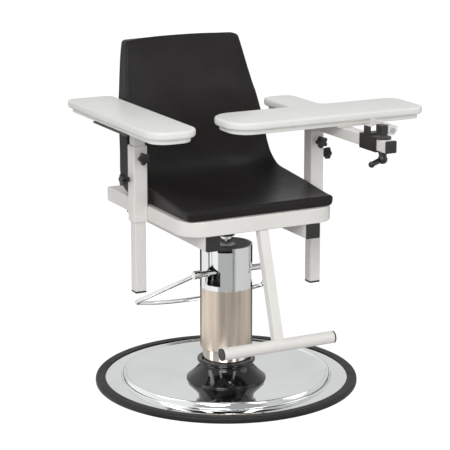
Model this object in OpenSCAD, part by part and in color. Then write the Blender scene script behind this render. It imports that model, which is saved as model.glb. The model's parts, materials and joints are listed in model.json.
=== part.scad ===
// Phlebotomy chair with a foot pump, two arm boards and a flip-up front board.
// Millimetres, +Z up. The sitter faces -Y and +X is the sitter's left.
// The origin is the centre of the base on the floor.

/* [Base] */
// Outside diameter of the rubber bumper
base_dia = 686; // [600:2:760]
// Width of the bumper's ring
bumper_w = 26; // [18:1:34]
// Height of the bumper
bumper_h = 16; // [14:0.5:22]
// Thickness of the chromed steel dish
dish_wall = 2; // [1.2:0.2:3]
// Height of the dish's flat outer zone
rim_z = 13; // [11:0.5:15]
// Width of that flat zone
rim_w = 42; // [24:1:50]
// Height of the dish's raised crest
crest_z = 29; // [22:0.5:36]
// Width of the step up to the crest
step_w = 11; // [9:1:28]
// Height of the dish at its middle
dish_mid_z = 6; // [5:0.5:9]
// Radius of the flared foot of the column
bell_r = 104; // [90:1:120]
// Radius of the ring on top of the flared foot
bell_ring_r = 76; // [70:0.5:84]
// Height of the top of that ring
bell_top_z = 62; // [52:1:75]
// Number of bolts that hold the pump to the base
bolt_count = 6; // [3:1:8]

/* [Column] */
// Radius of the column's sleeve and shroud
column_r = 68; // [62:0.5:74]
// Wall of the sleeve and the shroud
column_wall = 2; // [1.5:0.25:3]
// Radius of the narrow collar under the sleeve
collar_r = 62; // [54:0.5:62]
// Height of the sleeve's lower edge
sleeve_z = 95; // [90:1:115]
// Height of the joint between sleeve and shroud
shroud_z = 257; // [235:1:262]
// Height of the shroud's top rim
shroud_top_z = 370; // [352:1:374]

/* [Lift pump] */
// Diameter of the ram
ram_dia = 28; // [22:0.5:32]
// Outside radius of the hydraulic cylinder
cylinder_r = 24; // [22.5:0.5:25]
// How far the pedal's axle lies in front of the column's axis
axle_y = 34; // [33:0.5:35]
// Height of the pedal's axle
axle_z = 306; // [300:1:310]
// Diameter of the pedal's axle
axle_dia = 16; // [12:0.5:18]
// Half the length of the axle
axle_half = 112; // [100:1:120]
// Diameter of the pedal's rod
pedal_rod = 11; // [8:0.5:14]
// Half the distance between the pedal's two corners
pedal_half = 186; // [150:1:188]
// How far behind the axle the corners lie
pedal_reach = 189; // [165:1:192]
// How far below the axle the corners lie
pedal_drop = 113; // [80:1:120]
// How far the back bar bows out past the corners
pedal_bow = 50; // [30:1:56]

/* [Seat frame] */
// Width of the square tubes of the frame
tube_w = 38; // [34:0.5:40]
// Wall of the square tubes
tube_wall = 2; // [1.5:0.25:2.5]
// Rounding of the square tubes' edges
tube_edge = 3; // [2.5:0.25:5]
// Height of the frame's underside
frame_z = 450; // [445:1:460]
// Half the frame's width
frame_half = 215; // [208:1:225]
// How far the frame reaches to the front
frame_front = 205; // [200:1:210]
// How far the frame reaches to the back
frame_rear = 268; // [250:1:280]
// Outside radius of the frame's front corners
frame_corner = 62; // [56:1:80]
// Distance of each rail's middle from the chair's middle
rail_x = 141; // [120:1:150]
// How far the rails reach to the front
rail_front = 200; // [190:1:203]
// How far the rails reach to the back
rail_rear = 262; // [245:1:266]

/* [Footrest] */
// Width of the footrest's square post
foot_post_w = 25; // [22:0.5:30]
// How far in front of the middle the post's foot lies
foot_post_y = 280; // [276:1:290]
// Height of the footrest bar's middle
foot_bar_z = 172; // [160:1:180]
// Diameter of the footrest bar
foot_bar_dia = 31; // [27:0.5:34]
// Length of the footrest bar without its caps
foot_bar_len = 310; // [280:2:320]

/* [Arm posts] */
// Width of the tubes that slide in the arm sleeves
post_w = 30; // [28:0.5:31]
// How far the left post lies behind the middle
left_post_y = 33; // [20:1:50]
// How far the right post lies in front of the middle
right_post_y = 42; // [36:1:44]
// Height of the top of the left sleeve
left_sleeve_top = 643; // [630:1:655]
// Height of the top of the right sleeve
right_sleeve_top = 654; // [645:1:655]
// Height of the left post's lower end
left_post_low = 267; // [262:1:290]
// Height of the right post's lower end
right_post_low = 253; // [250:1:280]
// Height of the left front knob
left_front_knob_z = 616; // [606:1:618]
// Height of the left side knob
left_side_knob_z = 559; // [545:1:575]
// Height of the right front knob
right_front_knob_z = 629; // [618:1:630]
// Height of the right side knob
right_side_knob_z = 590; // [560:1:596]
// Radius of the star knobs
knob_r = 15; // [12:0.5:17]
// Thickness of the star knobs
knob_t = 14; // [10:0.5:18]
// Diameter of the knobs' screws
knob_screw_dia = 8; // [6:0.5:9]

/* [Arm boards] */
// Height of the left board's top
left_board_z = 732.5; // [727:0.5:740]
// Distance of the left board's middle from the left post's middle
left_board_out = 32; // [32:1:41]
// Width of the left board
left_board_w = 131; // [120:1:132]
// How far the left board reaches to the front
left_board_front = 267; // [240:1:280]
// How far the left board reaches to the back
left_board_rear = 266; // [240:1:280]
// Thickness of the boards' upper slab
slab_t = 20; // [16:0.5:24]
// Thickness of the boards' inset underside
lip_t = 12; // [8:0.5:14]
// How far the underside is inset from the slab's edge
lip_inset = 12; // [8:0.5:18]
// Height of the flip board's top
flip_board_z = 726; // [724:0.5:740]
// Length of the flip board's bar
bar_len = 551; // [500:1:600]
// How far the bar's right end lies outside the right post's middle
bar_out = 227; // [196:1:246]
// How far the bar's front edge lies in front of the middle
bar_front = 222; // [210:1:225]
// How far the bar's back edge lies in front of the middle
bar_back = 63; // [62:1:75]
// Width of the flip board's wing
wing_w = 91; // [76:1:101]
// How far the wing's right edge lies outside the right post's middle
wing_out = 7; // [0:1:16]
// How far the wing reaches to the back
wing_rear = 96; // [80:1:110]

/* [Flip arm] */
// Height of the forward tube's underside
arm_tube_z = 660; // [658:0.5:661]
// How far the forward tube reaches to the front
arm_tube_front = 408; // [404:1:430]
// Distance of the hinge's axis from the right post's middle
hinge_out = 48; // [46:0.5:50]
// Height of the hinge's axis
hinge_z = 700; // [699:0.25:702]
// Radius of the hinge's knuckles
knuckle_r = 12.5; // [11:0.5:13]
// Diameter of the hinge's pin
pin_dia = 8; // [6:0.5:9]
// Front of the clamp's sleeve, in front of the middle
clamp_front = 369; // [360:1:372]
// Length of the clamp's sleeve along the tube
clamp_len = 74; // [60:1:80]
// Length of the clamp lever's arm
lever_len = 34; // [30:1:50]

/* [Seat shell] */
// Half the width of the seat
seat_half = 208; // [195:1:211]
// How far the seat reaches to the front
seat_front = 197; // [190:1:203]
// How far the back reaches to the rear at its top
back_reach = 288; // [270:1:300]
// Height of the top of the backrest
back_top = 881; // [820:1:900]

/* [Hidden] */
$fn = 64;
// Fits, gaps and overruns
over = 1;
fit = 0.05;
gap = 0.3;
weld = 0.25;
// Base
base_r = base_dia / 2;
dish_r = base_r - bumper_w + 4;
bumper_in = base_r - bumper_w;
rim_in = bumper_in - rim_w;
crest_out_share = 0.75;
knee_share = 0.3;
crest_out = rim_in - step_w * crest_out_share;
crest_in = rim_in - step_w;
knee = step_w * knee_share;
crest_drop = 2;
slope_end_share = 1.7;
slope_end = bell_r * slope_end_share;
weight_plate = dish_mid_z - dish_wall - gap;
weight_r = bumper_in - gap;
ballast_in = crest_in - 52;
ballast_z = 17;
ballast_out_share = 0.6;
ballast_top_w = 10;
bell_wall = 3;
bell_neck_r = 69;
bell_ring_h = 8;
bell_neck_h = 6;
bell_steps = 6;
bell_power = 1.35;
flange_r = 66;
flange_z = 22;
bolt_ring_r = 45.5;
bolt_dia = 10;
bolt_head = 7;
bolt_flats = 16;
plate_r = 88;
// Column
collar_wall = 4;
collar_lip = 4;
spigot_h = 12;
cap_t = 3;
cap_drop = 4;
notch_w = 38;
notch_h = 10;
notch_turn = 30;
window_w = 36;
window_z = 270;
window_h = 38;
window_peak = 17;
seam_w = 1;
// Pump
ram_r = ram_dia / 2;
cylinder_top = 342;
cylinder_floor = 8;
bore_r = 18;
gland_r = 21;
gland_top = 362;
piston_len = 16;
piston_z = 64;
ram_top = 402.7;
head_r = 32;
head_z = 224;
head_h = 68;
lug_x = 28;
lug_t = 9;
lug_r = 12;
bush_wall = 1.5;
plunger_x = 40;
plunger_dia = 10;
plunger_turn = 10;
plunger_low = 242;
barrel_r = 10.5;
barrel_h = 54;
rocker_t = 7;
rocker_r = 10.5;
rocker_w = 8;
nose_r = 6;
loop_bend = 22;
weld_len = 4;
axle_boss_w = 18;
// Rocker: its nose lies straight above the plunger, half the turn above level
nose_arm = axle_y / cos(plunger_turn);
nose_z = axle_z + nose_arm * sin(plunger_turn);
plunger_top = nose_z - nose_r - gap;
// Frame
frame_top = frame_z + tube_w;
rail_z = frame_z - tube_w;
drain_dia = 8;
cap_lip = 4;
cap_plug = 14;
hub_flange_z = 404;
hub_boss_z = 392;
hub_r = 22;
hub_flange_r = 29;
mount_t = 8;
mount_z = rail_z + 2;
mount_half_y = 40;
mount_bolt_r = 22;
mount_bolt_dia = 5;
tab_w = 30;
tab_t = 4;
screw_dia = 6;
screw_head_dia = 12;
screw_head = 3;
seat_screw_y = 150;
seat_screw_x = 120;
// Arms
sleeve_wall = 2.5;
sleeve_low = frame_z;
glide_len = 16;
glide_lip = 1.5;
glide_gap = 0.2;
post_cap_t = 5;
left_plate_t = 4;
left_plate_w = 112;
left_plate_front = 95;
left_plate_rear = 105;
left_screw_x = 37;
left_screw_inset = 19;
post_x = frame_half + tube_w / 2;
left_board_x = post_x + left_board_out;
board_edge = 7;
front_corner = 54;
inner_corner_share = 0.9;
rear_corner = 25;
bar_right = post_x + bar_out;
bar_left = bar_len - bar_right;
wing_right = post_x + wing_out;
wing_left = wing_right - wing_w;
bar_end_corner = 46;
bar_far_corner = 26;
wing_corner = 28;
wing_fillet = 16;
knob_neck_r = 7;
knob_neck = 9;
knob_lobes = 5;
knob_lobe_share = 0.3;
knob_stand = 14;
screw_len = knob_stand + tube_w / 2 - post_w / 2 - gap;
// Flip arm
tube30 = post_w;
arm_x = post_x;
hinge_x = post_x + hinge_out;
clamp_wall = 3.3;
clamp_slip = 0.3;
saddle_h = 24;
saddle_base = 8;
saddle_wall = 5;
saddle_block = 18;
saddle_drop = 6;
saddle_rear = 315;
saddle_front = 340;
lug_front = 332;
lug_slim = 4;
hinge_rear = 300;
disc_r = 20;
disc_t = 5;
carrier_t = 3.2;
carrier_back = 95;
carrier_in = 28;
carrier_out = 66;
carrier_left = post_x - carrier_in;
carrier_right = post_x + carrier_out;
side_bar_t = 5;
side_bar_low = 696.5;
side_bar_high = 710;
boss_r = 11;
boss_z = 652;
lever_screw_y = 374;
lever_hub_r = 13;
lever_hub_h = 19;
lever_drop = 14;
lever_r = 6;
lever_tip = 3;
lever_tip_share = 0.6;
// Seat shell
shell_low = frame_top + gap;

// A rectangle with round corners, made of squares and circles
module round_rect(w, h, r) {
    square([w, h - 2 * r], center = true);
    square([w - 2 * r, h], center = true);
    for (sx = [-1, 1], sy = [-1, 1])
        translate([sx * (w / 2 - r), sy * (h / 2 - r)]) circle(r, $fn = 32);
}

// The wall of a square tube
module tube_section(w, wall, edge) {
    difference() {
        round_rect(w, w, edge);
        round_rect(w - 2 * wall, w - 2 * wall, edge - wall + over / 2);
    }
}

// A square tube along Y from y0 to y1, its middle at x and z
module tube_y(x, z, y0, y1, w, wall) {
    translate([x, y1, z]) rotate([90, 0, 0])
        linear_extrude(y1 - y0) tube_section(w, wall, tube_edge);
}

// A square tube along Z
module tube_z(x, y, z0, z1, w, wall) {
    translate([x, y, z0]) linear_extrude(z1 - z0) tube_section(w, wall, tube_edge);
}

// Base
module bumper_ring() {
    edge = bumper_h / 2 - over;
    color("#1c1b1a") difference() {
        rotate_extrude($fn = 128) {
            translate([bumper_in, 0]) square([bumper_w - edge, bumper_h]);
            translate([bumper_in, edge]) square([bumper_w, bumper_h - 2 * edge]);
            for (z = [edge, bumper_h - edge])
                translate([base_r - edge, z]) circle(edge, $fn = 32);
        }
        translate([0, 0, rim_z - dish_wall]) cylinder(h = dish_wall, r = dish_r, $fn = 128);
    }
}

module base_dish() {
    mid = rim_z - dish_wall;
    color("#d6d8d8") rotate_extrude($fn = 128) polygon([
        [dish_r, mid], [dish_r, rim_z], [rim_in, rim_z],
        [rim_in - knee, (rim_z + crest_z) / 2], [crest_out, crest_z],
        [crest_in, crest_z], [crest_in - knee, crest_z - crest_drop],
        [slope_end, dish_mid_z + dish_wall], [bell_r, dish_mid_z], [plate_r, dish_mid_z],
        [plate_r, dish_mid_z - dish_wall], [bell_r, dish_mid_z - dish_wall],
        [slope_end, dish_mid_z], [crest_in - knee, crest_z - crest_drop - dish_wall],
        [crest_in, crest_z - dish_wall], [crest_out - dish_wall / 2, crest_z - dish_wall],
        [rim_in - knee - dish_wall, (rim_z + crest_z) / 2 - dish_wall / 2],
        [rim_in - dish_wall, mid]
    ]);
}

module base_weight() {
    color("#3a3a3a") difference() {
        rotate_extrude($fn = 128) polygon([
            [0, 0], [weight_r, 0], [weight_r, rim_z - dish_wall],
            [rim_in - 2 * dish_wall, rim_z - dish_wall],
            [rim_in - step_w * ballast_out_share, ballast_z],
            [crest_in - ballast_top_w, ballast_z], [ballast_in, weight_plate],
            [plate_r, weight_plate], [plate_r - over, dish_mid_z + over],
            [0, dish_mid_z + over]
        ]);
        base_bolt_places() translate([0, 0, weight_plate - 2])
            cylinder(h = dish_mid_z + over, d = bolt_dia + 2 * fit);
    }
}

module base_bolt_places() {
    for (i = [0:bolt_count - 1]) rotate([0, 0, (i + 0.5) * 360 / bolt_count])
        translate([bolt_ring_r, 0, 0]) children();
}

// The radius of the bell's flare at share t of the way up
function flare_r(t) = bell_neck_r + (bell_r - bell_neck_r) * pow(1 - t, bell_power);

module base_bell() {
    neck_z = bell_top_z - bell_ring_h - bell_neck_h;
    ups = [for (i = [1:bell_steps - 1]) i / bell_steps];
    downs = [for (i = [bell_steps - 1:-1:1]) i / bell_steps];
    color("#141414") rotate_extrude($fn = 96) polygon([
        [bell_r, dish_mid_z], [bell_r, dish_mid_z + bell_wall],
        for (t = ups) [flare_r(t), dish_mid_z + bell_wall + (neck_z - dish_mid_z - bell_wall) * t],
        [bell_neck_r, neck_z], [bell_neck_r, bell_top_z - bell_ring_h],
        [bell_ring_r, bell_top_z - bell_ring_h + over],
        [bell_ring_r, bell_top_z - over], [bell_ring_r - over, bell_top_z],
        [collar_r + gap, bell_top_z], [collar_r + gap, bell_top_z - bell_ring_h],
        [bell_neck_r - bell_wall, bell_top_z - bell_ring_h],
        [bell_neck_r - bell_wall, neck_z],
        for (t = downs) [flare_r(t) - bell_wall, dish_mid_z + (neck_z - dish_mid_z) * t],
        [bell_r - bell_wall, dish_mid_z]
    ]);
}

module pump_flange() {
    low = dish_mid_z + over;
    color("#6f7174") difference() {
        union() {
            translate([0, 0, low]) cylinder(h = flange_z - low, r = flange_r);
            translate([0, 0, flange_z]) cylinder(h = flange_z, r = cylinder_r + collar_wall);
        }
        translate([0, 0, low + cylinder_floor])
            cylinder(h = 2 * flange_z, r = cylinder_r + fit);
        base_bolt_places() translate([0, 0, low - over])
            cylinder(h = flange_z, d = bolt_dia + 2 * fit);
    }
}

module base_bolts() {
    color("#8b8d90") base_bolt_places() {
        translate([0, 0, flange_z]) cylinder(h = bolt_head, d = bolt_flats, $fn = 6);
        translate([0, 0, weight_plate - over]) cylinder(h = flange_z - weight_plate + over,
            d = bolt_dia);
    }
}

// Column
module lower_collar() {
    color("#cfd1d2") rotate_extrude($fn = 96) polygon([
        [collar_r - collar_wall, flange_z], [flange_r, flange_z],
        [flange_r, flange_z + collar_lip], [collar_r, flange_z + 2 * collar_lip],
        [collar_r, sleeve_z - collar_lip], [column_r, sleeve_z - over],
        [column_r, sleeve_z], [column_r - column_wall - fit, sleeve_z],
        [column_r - column_wall - fit, sleeve_z + spigot_h],
        [collar_r - collar_wall, sleeve_z + spigot_h]
    ]);
}

module column_sleeve() {
    color("#c2b3a3") difference() {
        translate([0, 0, sleeve_z]) cylinder(h = shroud_z - sleeve_z, r = column_r, $fn = 96);
        translate([0, 0, sleeve_z - over])
            cylinder(h = shroud_z - sleeve_z + 2 * over, r = column_r - column_wall, $fn = 96);
    }
}

module pump_shroud() {
    color("#d4d6d6") difference() {
        union() {
            translate([0, 0, shroud_z])
                cylinder(h = shroud_top_z - shroud_z, r = column_r, $fn = 96);
            translate([0, 0, shroud_z - spigot_h])
                cylinder(h = spigot_h + over, r = column_r - column_wall - fit, $fn = 96);
        }
        translate([0, 0, shroud_z - spigot_h - over])
            cylinder(h = shroud_top_z - shroud_z + spigot_h + 2 * over,
                r = column_r - 2 * column_wall, $fn = 96);
        // Windows for the axle on both sides, each with a peaked top
        translate([-column_r - over, -axle_y, 0]) rotate([90, 0, 90])
            linear_extrude(2 * (column_r + over)) {
                translate([-window_w / 2, window_z]) square([window_w, window_h]);
                polygon([[-window_w / 2, window_z + window_h], [window_w / 2, window_z + window_h],
                    [0, window_z + window_h + window_peak]]);
            }
        // The rolled sheet's one butt seam, over the left window
        translate([-column_r - over, -axle_y - seam_w / 2, window_z + window_h])
            cube([column_r, seam_w, shroud_top_z]);
        rotate([0, 0, -notch_turn])
            translate([-notch_w / 2, -column_r - over, shroud_top_z - notch_h])
                cube([notch_w, column_r, notch_h + over]);
    }
}

module shroud_cap() {
    color("#2b2a29") translate([0, 0, shroud_top_z - cap_drop - cap_t]) difference() {
        cylinder(h = cap_t, r = column_r - 2 * column_wall - fit, $fn = 96);
        translate([0, 0, -over]) cylinder(h = cap_t + 2 * over, r = gland_r + gap);
    }
}

// Lift pump
module pump_cylinder() {
    low = dish_mid_z + over + cylinder_floor;
    color("#55585c") difference() {
        translate([0, 0, low]) cylinder(h = cylinder_top - low, r = cylinder_r);
        translate([0, 0, low + cylinder_floor]) cylinder(h = cylinder_top, r = bore_r);
    }
}

module cylinder_gland() {
    color("#b8babb") difference() {
        union() {
            translate([0, 0, cylinder_top]) cylinder(h = gland_top - cylinder_top, r = gland_r);
            translate([0, 0, cylinder_top - spigot_h]) cylinder(h = spigot_h + over, r = bore_r - fit);
            translate([0, 0, shroud_top_z - cap_drop]) cylinder(h = cap_t - over, r = gland_r + cap_t);
            translate([0, 0, gland_top]) cylinder(h = shroud_top_z - cap_drop - gland_top, r = gland_r);
        }
        translate([0, 0, cylinder_top - spigot_h - over])
            cylinder(h = shroud_top_z, r = ram_r + fit);
    }
}

// The casting round the cylinder that carries the axle and holds the plunger's barrel
module pump_head() {
    color("#5f6266") difference() {
        union() {
            translate([0, 0, head_z]) cylinder(h = head_h, r = head_r);
            for (s = [-1, 1]) translate([s * lug_x - lug_t / 2, 0, 0]) {
                translate([0, -axle_y, axle_z]) rotate([0, 90, 0]) cylinder(h = lug_t, r = lug_r);
                translate([0, -axle_y, axle_z - 2 * lug_r]) cube([lug_t, axle_y, 2 * lug_r]);
            }
            translate([-plunger_x, 0, head_z]) cylinder(h = barrel_h, r = barrel_r);
        }
        translate([0, 0, head_z - over]) cylinder(h = 2 * head_h, r = cylinder_r + fit);
        translate([-plunger_x, 0, head_z + cylinder_floor / 2])
            cylinder(h = barrel_h, r = plunger_dia / 2 + fit);
        translate([-axle_half, -axle_y, axle_z]) rotate([0, 90, 0])
            cylinder(h = 2 * axle_half, r = axle_dia / 2 + bush_wall + 2 * fit);
    }
}

module axle_bushes() {
    color("#a88a4e") for (s = [-1, 1]) translate([s * lug_x - lug_t / 2, -axle_y, axle_z])
        rotate([0, 90, 0]) difference() {
            cylinder(h = lug_t, r = axle_dia / 2 + bush_wall + fit);
            translate([0, 0, -over]) cylinder(h = lug_t + 2 * over, r = axle_dia / 2 + fit);
        }
}

module pedal_axle() {
    color("#d2d4d4") translate([-axle_half, -axle_y, axle_z]) rotate([0, 90, 0])
        cylinder(h = 2 * axle_half, r = axle_dia / 2);
}

// The loop: two arms that splay from the axle, two bends and a bar bowed to the back. Each bend
// touches its arm's line and the bar's circle, and a low ring covers each of the four butt welds.
module loop_weld(place, turn) {
    translate([place[0], place[1], 0]) rotate([-90, 0, turn]) translate([0, 0, -weld_len / 2])
        cylinder(h = weld_len, r = pedal_rod / 2 + weld);
}

module pedal_loop() {
    slope = norm([pedal_reach, pedal_drop]);
    tilt = atan2(pedal_drop, pedal_reach);
    arm_start = axle_half - axle_boss_w / 2;
    splay = atan2(pedal_half - arm_start, slope - loop_bend);
    bow_r = (pedal_half * pedal_half + pedal_bow * pedal_bow) / (2 * pedal_bow);
    bow_y = slope + pedal_bow - bow_r;
    along = [sin(splay), cos(splay)];
    to_bend = [arm_start - loop_bend * cos(splay), loop_bend * sin(splay) - bow_y];
    arm_len = sqrt(pow(to_bend * along, 2) - to_bend * to_bend + pow(bow_r - loop_bend, 2))
        - to_bend * along;
    bend = to_bend + arm_len * along;
    meet = atan2(bend[1], bend[0]);
    bend_cut = asin(gap / loop_bend);
    bow_cut = asin(gap / bow_r);
    color("#d6d8d8") difference() {
        translate([0, -axle_y, axle_z]) rotate([-tilt, 0, 0]) {
            for (s = [-1, 1]) {
                translate([s * arm_start, 0, 0]) rotate([-90, 0, -s * splay])
                    cylinder(h = arm_len - gap, r = pedal_rod / 2);
                loop_weld([s * (arm_start + arm_len * along[0]), arm_len * along[1]], -s * splay);
                translate([s * bend[0], bend[1] + bow_y, 0])
                    rotate([0, 0, s > 0 ? bend_cut - splay : 180 - meet + bend_cut])
                        rotate_extrude(angle = splay + meet - 2 * bend_cut)
                            translate([loop_bend, 0]) circle(pedal_rod / 2);
                loop_weld([s * bow_r * cos(meet), bow_y + bow_r * sin(meet)], s * meet);
                translate([s * arm_start - axle_boss_w / 2, 0, 0]) rotate([0, 90, 0])
                    cylinder(h = axle_boss_w, r = axle_dia / 2 + bush_wall * 2);
            }
            translate([0, bow_y, 0]) rotate([0, 0, meet + bow_cut])
                rotate_extrude(angle = 180 - 2 * meet - 2 * bow_cut) translate([bow_r, 0])
                    circle(pedal_rod / 2);
        }
        translate([-axle_half - over, -axle_y, axle_z]) rotate([0, 90, 0])
            cylinder(h = 2 * axle_half + 2 * over, r = axle_dia / 2);
    }
}

module pump_rocker() {
    color("#77797c") translate([-plunger_x - rocker_t / 2, -axle_y, axle_z])
        rotate([0, 90, 0]) rotate([0, 0, 90 + plunger_turn]) linear_extrude(rocker_t)
            difference() {
                union() {
                    circle(rocker_r);
                    translate([0, -rocker_w / 2]) square([nose_arm, rocker_w]);
                    translate([nose_arm, 0]) circle(nose_r);
                }
                circle(axle_dia / 2);
            }
}

module pump_plunger() {
    color("#bfc1c2") translate([-plunger_x, 0, 0]) {
        translate([0, 0, plunger_low]) cylinder(h = plunger_top - plunger_low, d = plunger_dia);
        translate([0, 0, plunger_top - over * 2]) cylinder(h = over * 2, r = nose_r + over);
    }
}

module ram_rod() {
    color("#d8dadb") translate([0, 0, piston_z + piston_len])
        cylinder(h = ram_top - piston_z - piston_len, d = ram_dia);
}

module ram_piston() {
    color("#8c8e90") translate([0, 0, piston_z]) cylinder(h = piston_len, r = bore_r - fit);
}

// Seat frame
module seat_hub() {
    color("#2e2d2c") difference() {
        union() {
            translate([0, 0, hub_boss_z]) cylinder(h = hub_flange_z - hub_boss_z, r = hub_r);
            translate([0, 0, hub_flange_z]) cylinder(h = mount_z - hub_flange_z, r = hub_flange_r);
        }
        translate([0, 0, hub_boss_z - over])
            cylinder(h = ram_top + gap - hub_boss_z + over, r = ram_r + fit);
        mount_bolt_places() translate([0, 0, hub_boss_z])
            cylinder(h = mount_z, d = mount_bolt_dia + 2 * fit);
    }
}

module mount_bolt_places() {
    for (i = [0:3]) rotate([0, 0, 45 + 90 * i]) translate([mount_bolt_r, 0, 0]) children();
}

module hub_bolts() {
    color("#8b8d90") mount_bolt_places() {
        translate([0, 0, hub_flange_z]) cylinder(h = mount_z + mount_t - hub_flange_z,
            d = mount_bolt_dia);
        translate([0, 0, mount_z + mount_t]) cylinder(h = screw_head, d = 2 * mount_bolt_dia, $fn = 6);
    }
}

module mount_plate() {
    half = rail_x - tube_w / 2;
    color("#d9d7d3") difference() {
        translate([-half, -mount_half_y, mount_z]) cube([2 * half, 2 * mount_half_y, mount_t]);
        mount_bolt_places() translate([0, 0, mount_z - over])
            cylinder(h = mount_t + 2 * over, d = mount_bolt_dia + 2 * fit);
    }
}

module left_rail() {
    color("#dddad6") tube_y(-rail_x, rail_z + tube_w / 2, -rail_front, rail_rear, tube_w, tube_wall);
}

module right_rail() {
    color("#dddad6") tube_y(rail_x, rail_z + tube_w / 2, -rail_front, rail_rear, tube_w, tube_wall);
}

// A cap on a square tube's end that faces -Y, with its plug inside the tube
module tube_cap(w, wall, lip) {
    rotate([90, 0, 0]) linear_extrude(lip) round_rect(w, w, tube_edge);
    inner = w - 2 * wall - 2 * glide_gap;
    translate([0, cap_plug, 0]) rotate([90, 0, 0])
        linear_extrude(cap_plug + over / 2) round_rect(inner, inner, tube_edge / 2);
}

module rail_caps() {
    color("#262423") for (s = [-1, 1]) {
        translate([s * rail_x, -rail_front, rail_z + tube_w / 2]) tube_cap(tube_w, tube_wall, cap_lip);
        translate([s * rail_x, rail_rear, rail_z + tube_w / 2]) rotate([0, 0, 180])
            tube_cap(tube_w, tube_wall, cap_lip);
    }
}

// The loop of square tube under the seat: two bends in front and butt joints behind, where the
// side tubes end in welded plates. It has drain holes in its underside.
module seat_frame() {
    half_x = frame_half - frame_corner;
    side_x = frame_half - tube_w / 2;
    mid_z = frame_z + tube_w / 2;
    y_front = -frame_front + frame_corner;
    side_len = frame_rear - y_front;
    rear_half = frame_half - tube_w + tube_wall / 2;
    inner = tube_w - 2 * tube_wall;
    color("#dddad6") difference() {
        union() {
            for (s = [-1, 1]) {
                translate([s * side_x, frame_rear, mid_z]) rotate([90, 0, 0]) difference() {
                    linear_extrude(side_len) round_rect(tube_w, tube_w, tube_edge);
                    translate([0, 0, tube_wall]) linear_extrude(side_len)
                        round_rect(inner, inner, tube_edge - tube_wall + over / 2);
                }
                translate([s * half_x, y_front, mid_z]) rotate([0, 0, s > 0 ? 270 : 180])
                    rotate_extrude(angle = 90, $fn = 96) translate([frame_corner - tube_w / 2, 0])
                        tube_section(tube_w, tube_wall, tube_edge);
            }
            for (b = [[half_x, -frame_front + tube_w / 2], [rear_half, frame_rear - tube_w / 2]])
                translate([-b[0], b[1], mid_z]) rotate([90, 0, 90]) linear_extrude(2 * b[0])
                    tube_section(tube_w, tube_wall, tube_edge);
            // Tabs for the seat's screws
            for (s = [-1, 1], y = [-seat_screw_y, seat_screw_y])
                translate([s > 0 ? seat_screw_x - tab_w / 2 : -frame_half + tube_w - tube_wall,
                    y - tab_w / 2, frame_top - tab_t])
                    cube([frame_half - tube_w + tube_wall - seat_screw_x + tab_w / 2, tab_w, tab_t]);
        }
        for (s = [-1, 1], y = [y_front, frame_rear - tube_w])
            translate([s * side_x, y, frame_z - over]) cylinder(h = tube_w / 2, d = drain_dia);
        for (s = [-1, 1], y = [-seat_screw_y, seat_screw_y])
            translate([s * seat_screw_x, y, frame_top - tab_t - over])
                cylinder(h = tab_t + 2 * over, d = screw_dia + 2 * fit);
    }
}

module seat_screws() {
    color("#8b8d90") for (s = [-1, 1], y = [-seat_screw_y, seat_screw_y])
        translate([s * seat_screw_x, y, 0]) {
            translate([0, 0, frame_top - tab_t - screw_head])
                cylinder(h = screw_head, d = screw_head_dia);
            translate([0, 0, frame_top - tab_t - over])
                cylinder(h = tab_t + over, d = screw_dia);
        }
}

// Seat shell. Each row is a station along it, from the seat's front edge to the back's top,
// in shares of its depth, height and half width: the front surface at its middle (y, z) and
// at its side edge (y, z), the half width, and the outer surface (y, z)
station_shares = [
    [0, 0.037, 0, 0.035, 0.971, 0.012, 0],
    [0.014, 0.065, 0.016, 0.065, 0.99, 0.035, 0],
    [0.076, 0.063, 0.076, 0.069, 0.995, 0.076, 0],
    [0.221, 0.05, 0.221, 0.091, 1, 0.221, 0],
    [0.365, 0.04, 0.365, 0.111, 1, 0.365, 0],
    [0.509, 0.04, 0.499, 0.127, 1, 0.509, 0],
    [0.623, 0.055, 0.588, 0.139, 1, 0.633, 0],
    [0.705, 0.091, 0.643, 0.167, 1, 0.736, 0],
    [0.761, 0.152, 0.689, 0.218, 0.995, 0.81, 0.03],
    [0.79, 0.246, 0.718, 0.279, 0.99, 0.854, 0.114],
    [0.804, 0.348, 0.738, 0.356, 0.978, 0.866, 0.251],
    [0.819, 0.458, 0.76, 0.463, 0.957, 0.895, 0.43],
    [0.847, 0.628, 0.808, 0.636, 0.902, 0.945, 0.623],
    [0.885, 0.75, 0.844, 0.75, 0.864, 0.969, 0.748],
    [0.922, 0.878, 0.88, 0.878, 0.825, 0.993, 0.875],
    [0.948, 0.969, 0.904, 0.952, 0.801, 0.996, 0.962],
    [0.957, 1, 0.913, 0.98, 0.75, 0.981, 0.987]
];
shell_depth = seat_front + back_reach;
shell_rise = back_top - shell_low;
stations = len(station_shares) - 1;
across = 9;
edge_power = 2.6;
outer_share = 0.985;
function mixed(a, b, t) = a * (1 - t) + b * t;
// A point of the front surface at station i, at share t of the half width from -1 to 1
function front_point(i, t) = let (q = station_shares[i], k = pow(abs(t), edge_power)) [
    seat_half * q[4] * t,
    -seat_front + shell_depth * mixed(q[0], q[2], k),
    shell_low + shell_rise * mixed(q[1], q[3], k)
];
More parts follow.
